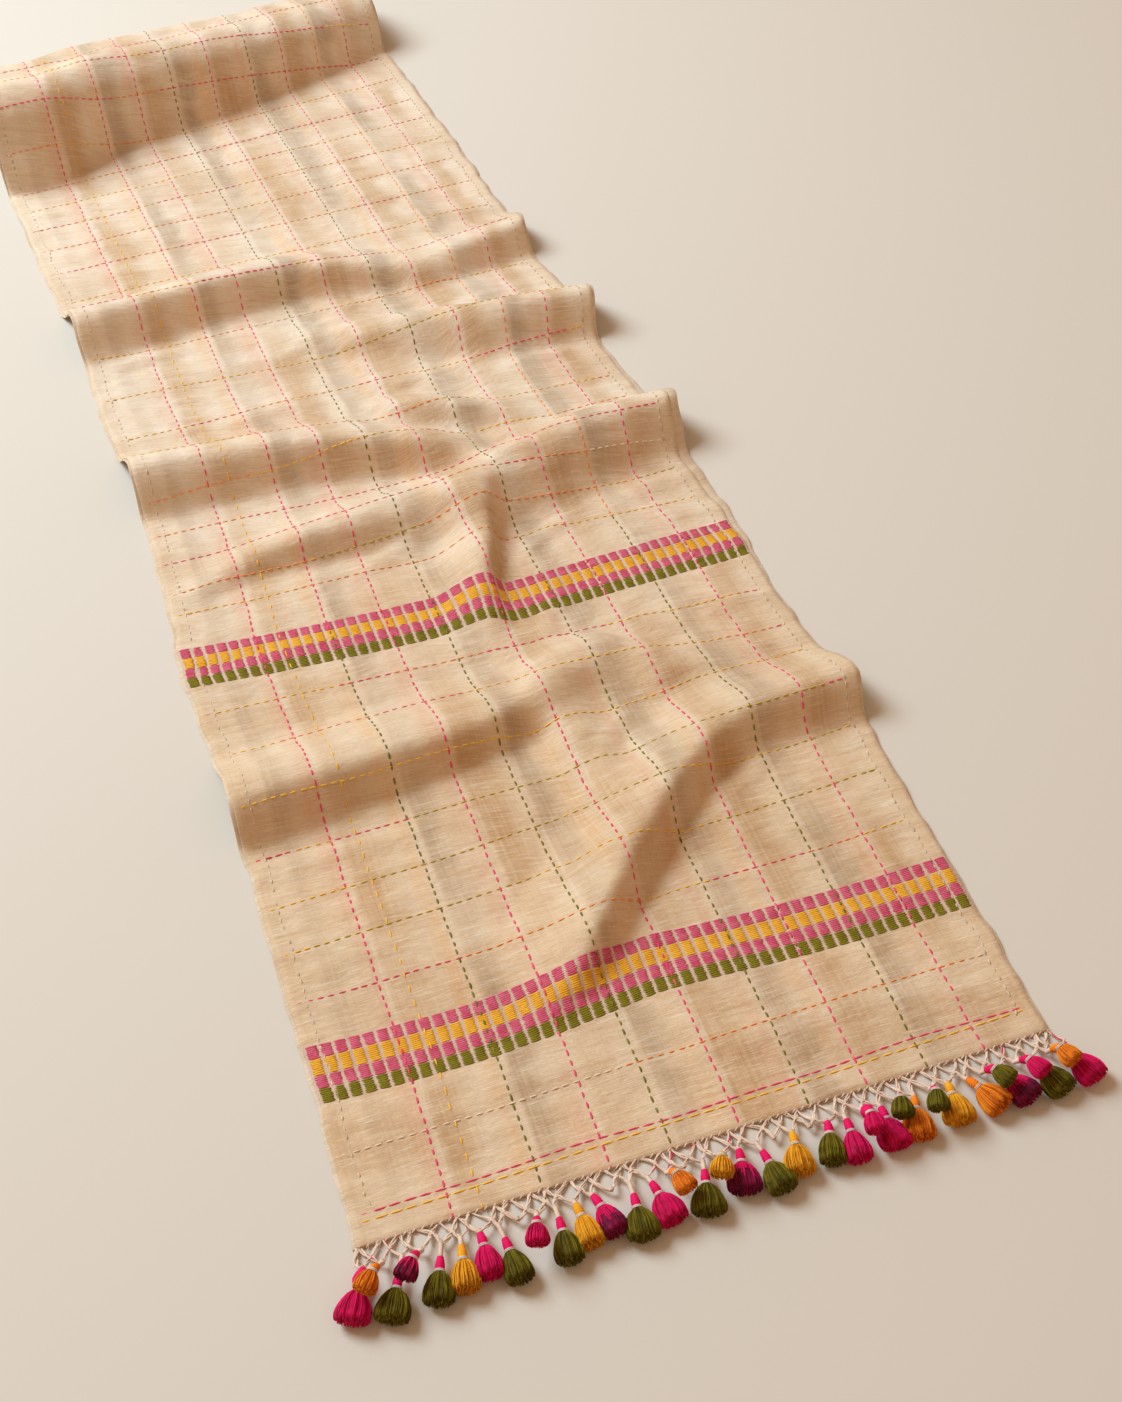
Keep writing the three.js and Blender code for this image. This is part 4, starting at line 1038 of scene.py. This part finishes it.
def knotted_net():
    """Warp ends in bundles of three. From each place on the cloth's edge one bundle goes to
    the left and one to the right: a parabola through its start, the crossing with its
    neighbour's bundle and a knot of the second row. The strands of a bundle wind round it."""
    draw = np.random.default_rng(91)
    knots = np.arange(NET_KNOTS)
    start = knot_across(knots) + draw.uniform(-4.5, 4.5, NET_KNOTS)
    cross = knot_across(np.arange(-1, NET_KNOTS) + 0.5) + draw.uniform(-3.6, 3.6, NET_KNOTS + 1)
    start = np.clip(start, -NET_SIDE, NET_SIDE)
    deep = NET_REACH * NET_CROSS + draw.uniform(-4, 4, NET_KNOTS + 1)
    t = np.linspace(0, 1, 14)
    weights = np.stack([(1 - t) * (1 - 2 * t), 4 * t * (1 - t), t * (2 * t - 1)])
    paths, tones = [], []
    for way in (-1, 1):
        target = knot_across(np.clip(knots + way, 0, NET_KNOTS - 1))
        between = knots + (way + 1) // 2
        middle = np.clip(cross[between], knot_across(-0.2), knot_across(NET_KNOTS - 0.8))
        reach = [np.full(NET_KNOTS, -1.5), deep[between], np.full(NET_KNOTS, NET_REACH)]
        for strand in range(3):
            wander = draw.uniform(-1, 1, (4, NET_KNOTS, 1))
            winds = 1.1 + 0.5 * wander[1]
            phase = 2 * np.pi * strand / 3 + 3 * wander[0] + 2 * np.pi * winds * t
            loose = 0.75 + (0.55 + 0.5 * wander[2]) * np.sin(np.pi * t) ** 2
            across = np.stack([start, middle, target], 1) @ weights
            across = across + loose * np.cos(phase) + 0.5 * wander[3] * np.sin(2 * np.pi * t)
            out = np.stack(reach, 1) @ weights + 0.6 * loose * np.cos(phase + 1.2)
            height = net_height(out) + NET_LIFT + 0.7 * loose * np.sin(phase)
            paths.append(from_edge(across, out, height + 0.8 * way * bump((t - 0.5) * 3)))
            tones.append((strand == 0) & (draw.uniform(0, 1, NET_KNOTS) < 0.12))
    paths, pink = np.concatenate(paths), np.concatenate(tones)
    groups = [(0, tubes(paths[~pink], *STRAND, UP, 5)),
              (1, tubes(paths[pink], *FINE_STRAND, UP, 5))]
    turn = np.linspace(0, 2.5 * 2 * np.pi, 22)
    groups += [(0, wraps(knot_across(knots), np.full(NET_KNOTS, NET_REACH - 1.4), 1.5, turn)),
               (0, wraps(cross[1:-1], deep[1:-1], 1.35, turn)), (0, frays(draw))]
    whip = np.linspace(-286.5, 286.5, WHIP_POINTS)
    edge = from_edge(whip, 0.3 - 0.9 * np.sin(whip * 0.9), 2.0 + 1.3 * np.cos(whip * 0.9))
    groups.append((0, tubes(edge[None], *FINE_STRAND, UP, 5)))
    piece = make_piece("knotted_net", groups, [WARP_ENDS, SKEINS["magenta"]])
    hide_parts("fringe_net")
    return piece


def wraps(across, out, size, turn):
    """A helix round each knot, of radius size."""
    out = out[:, None] + 0.16 * turn - 1.2
    height = net_height(out) + NET_LIFT + size * np.sin(turn)
    paths = from_edge(across[:, None] + size * np.cos(turn), out, height)
    return tubes(paths, 0.55, 0.55, np.array([0.0, -1.0, 0.0]), 5)


def frays(draw):
    """Short loose ends that curve aside by the square of the way along them, and thin out."""
    place = draw.uniform(-284, 284, FRAYS)[:, None]
    reach = draw.uniform(2.5, 8.5, (FRAYS, 1))
    lean = draw.uniform(-1, 1, (3, FRAYS, 1))
    t = np.linspace(0, 1, 6)
    out = -1.2 + reach * t * (1 - 0.4 * np.abs(lean[0]))
    height = net_height(out) + 1.2 + 1.6 * lean[1] * np.sin(np.pi * t) + 0.8 * lean[2] * t
    paths = from_edge(place + reach * lean[0] * t ** 2 * 0.9, out, np.maximum(height, 0.4))
    return tubes(paths, 0.4 - 0.25 * t, 0.4 - 0.25 * t, UP, 4)


def half_room(row):
    """Half the room to the nearest skirt of the same tier."""
    _, place, _, tier, _ = row
    gaps = [abs(other[1] - place) for other in TASSELS if other is not row and other[3] == tier]
    return min(SKIRTS[tier][0], min(gaps) / 2 + 2.6)


def opening(t):
    """How far a skirt has opened at a share t of its length: a quarter of a sine wave."""
    return np.sin(0.5 * np.pi * t ** 0.72)


def skirt_threads(draw, tie, level, side, half_width, half_height, length, count):
    """Paths of threads that leave the tie in a disc and open to the skirt's section. Two
    thirds of them lie in its outer shell, gathered into locks, and end a little shorter."""
    angle = draw.uniform(0, 2 * np.pi, count)
    lock = 11 * angle + draw.uniform(0, 6)
    angle += 0.14 * np.sin(lock)
    outer = np.arange(count) < count * 2 // 3
    reach = np.where(outer, draw.uniform(0.90, 1.02, count) - 0.035 * np.cos(lock),
                     np.sqrt(draw.uniform(0.02, 0.74, count)))
    t = np.linspace(0, 1, 7)[None, :]
    spread = opening(t) * (1 - 0.10 * smooth(0.72, 1.0, t))
    wide, high = (3.2 + (half - 3.8) * spread for half in (half_width, half_height))
    long = length * (1.05 - 0.13 * reach ** 4) * draw.uniform(0.95, 1.03, count)
    wave = 0.32 * np.sin(t * draw.uniform(5, 12, (count, 1)) + draw.uniform(0, 6, (count, 1)))
    paths = (tie + level * (long[:, None] * t)[..., None]
             + side * ((np.cos(angle) * reach)[:, None] * wide + wave * t)[..., None]
             + UP * ((np.sin(angle) * reach)[:, None] * high + 0.6 * wave * t)[..., None])
    paths[..., 2] = np.maximum(paths[..., 2], 0.6 + 0.4 * reach[:, None])
    return paths


def tassel(number, row):
    """A twisted cord from the net, then a neck wound with thread up to the white tie; below it
    the skirt, with a core that fills it, in the deep tone as painted shade between the
    threads. The neck swells by a squared sine, two of them to a bulb, with a finer wave for
    the turns of thread."""
    knot, side_place, out, tier, tone = row
    draw = np.random.default_rng(300 + number)
    _, half_height, length, middle = SKIRTS[tier]
    middle -= tier * BUD_SLOPE * (BUD_OUT - out)
    half_width = half_room(row)
    root = from_edge(knot_across(knot), NET_REACH - 0.4, net_height(NET_REACH) + 1.5)
    skirt = from_edge(side_place, out, middle)
    level = unit((skirt - root) * (1, 1, 0))
    side = np.array([level[1], -level[0], 0.0])
    tie = skirt - level * (length / 2 - HEAD)

    t = np.linspace(0, 1, 40)
    neck = root + (tie - root) * t[:, None] + UP * 1.2 * np.sin(np.pi * t)[:, None]
    length_wound, swell = (NECK_BULB, 2.6) if number in BULBS else (NECK_WOUND, 0.5)
    pale = t < 1 - length_wound / np.linalg.norm(tie - root)
    share = (t[~pale] - t[~pale][0]) / (1 - t[~pale][0])
    wound = NECK + 0.9 * share + swell * np.sin(np.pi * share) ** 2
    wound = wound + 0.16 * np.cos(12 * np.pi * share)
    groups = [(0, tubes(neck[None, ~pale], wound, wound, UP, 8))]
    if pale.sum() > 2:
        thick = CORD + 0.35 * np.cos(1.9 * np.arange(pale.sum()))
        groups.append((4, tubes(neck[None, pale], thick, thick, UP, 6)))
    turn = np.linspace(0, 2 * 2 * np.pi, 28)
    ring = (tie + level * (0.17 * turn - 1.2)[:, None]
            + (side * np.cos(turn)[:, None] + UP * np.sin(turn)[:, None]) * TIE_RING)
    groups.append((1, tubes(ring[None], 0.55, 0.55, level, 5)))

    count = SKIRT_THREADS[tier]
    paths = skirt_threads(draw, tie, level, side, half_width, half_height, length - HEAD, count)
    # A thread turns to the deep tone at one of its cells, and 99 is never reached.
    if tone == "plum":
        change = draw.integers(2, 5, count)
    else:
        change = draw.choice([0, 4, 99], count, p=[0.22, 0.2, 0.58])
    marks = np.where(np.arange(paths.shape[1] - 1) >= change[:, None], 3, 2)
    # The threads' cut ends (their caps) take the deep tone as painted shade.
    threads = tubes(paths, THREAD_RADIUS, THREAD_RADIUS, UP, 3)
    groups.append((3, (*threads, np.repeat(marks.ravel(), 3))))
    t = np.linspace(0, 1, 9)
    core = tie + level * ((length - HEAD) * 0.9 * t)[:, None]
    wide, high = (3.0 + (half * SKIRT_CORE - 3.0) * opening(t)
                  for half in (half_width, half_height))
    # The core takes the deep tone: painted shade inside the skirt, between its threads.
    groups.append((3, tubes(core[None], wide, high, UP, 16)))
    wound_tone = "magenta" if tone in ("olive", "plum") else tone
    body = "magenta" if tone == "plum" else tone
    deep = SKEINS["plum"] if tone == "plum" else DEEP_AND_SHADE_SKEINS[tone]
    piece = make_piece(f"thread_tassel_{number:02d}", groups,
                       [SKEINS[wound_tone], TIE, SKEINS[body], deep, WARP_ENDS])
    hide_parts(f"tassel_{number:02d}")
    return piece


# ---- the saree

top_cloth = upper_cloth()
second_cloth = under_cloth()
turns, turns_length = rolled_turns()
trims = [*stitched_lines(), hem_stitches(), *band_blocks(), knotted_net()]
tassels = [tassel(number, row) for number, row in enumerate(TASSELS, 1)]
for piece in (top_cloth, second_cloth, turns, *trims, *tassels):
    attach(piece, "root")


# ---- floor, light and camera

YAW, TILT = math.radians(21.4005), math.radians(46.31)
FOCUS = 1800                # the camera's focal length in pixels of a frame 1402 high
EYE = (-400.72, -1512.34, 1235.2)
LAMP_DISTANCE = 5.0


def studio():
    """A pale floor, one large soft light from the upper left and behind, and a pale sky."""
    mesh = bpy.data.meshes.new("floor")
    mesh.from_pydata([(-9, -9, 0), (9, -9, 0), (9, 9, 0), (-9, 9, 0)], [], [(0, 1, 2, 3)])
    pale = Finish("pale_floor", Base_Color=(0.638, 0.597, 0.547), Roughness=0.9)
    mesh.materials.append(pale.material)
    add_object("floor", mesh)

    world = bpy.data.worlds.new("studio")
    bpy.context.scene.world = world
    world.use_nodes = True
    sky = world.node_tree.nodes["Background"]
    sky.inputs["Color"].default_value = (1.0, 0.64, 0.38, 1)
    sky.inputs["Strength"].default_value = 0.53
    bpy.context.scene.view_settings.view_transform = "Standard"

    lamp = bpy.data.lights.new("window", "AREA")
    lamp.shape, lamp.size, lamp.size_y = "RECTANGLE", 2.6, 2.6
    lamp.energy = 322
    lamp.color = (0.79, 0.94, 1.0)
    key = add_object("window", lamp)
    facing = np.array([math.sin(YAW), math.cos(YAW)])
    aside = np.array([facing[1], -facing[0]])
    spot = LAMP_DISTANCE * unit(np.array([*(-0.66 * aside + 0.30 * facing), 0.78]))
    key.location = spot
    key.rotation_mode = "QUATERNION"
    key.rotation_quaternion = (-Vector(spot)).to_track_quat("-Z", "Y")


def camera():
    """1.24 m above the floor, looking down by TILT and to the right of the strip by YAW."""
    lens = bpy.data.cameras.new("camera")
    lens.sensor_width = 36
    lens.lens = 36 * FOCUS / 1402
    lens.clip_start, lens.clip_end = 0.05, 60
    eye = add_object("camera", lens)
    eye.location = (np.array(EYE) + SHIFT) * MM
    eye.rotation_mode = "XYZ"
    eye.rotation_euler = (math.pi / 2 - TILT, 0, -YAW)
    bpy.context.scene.camera = eye


studio()
camera()
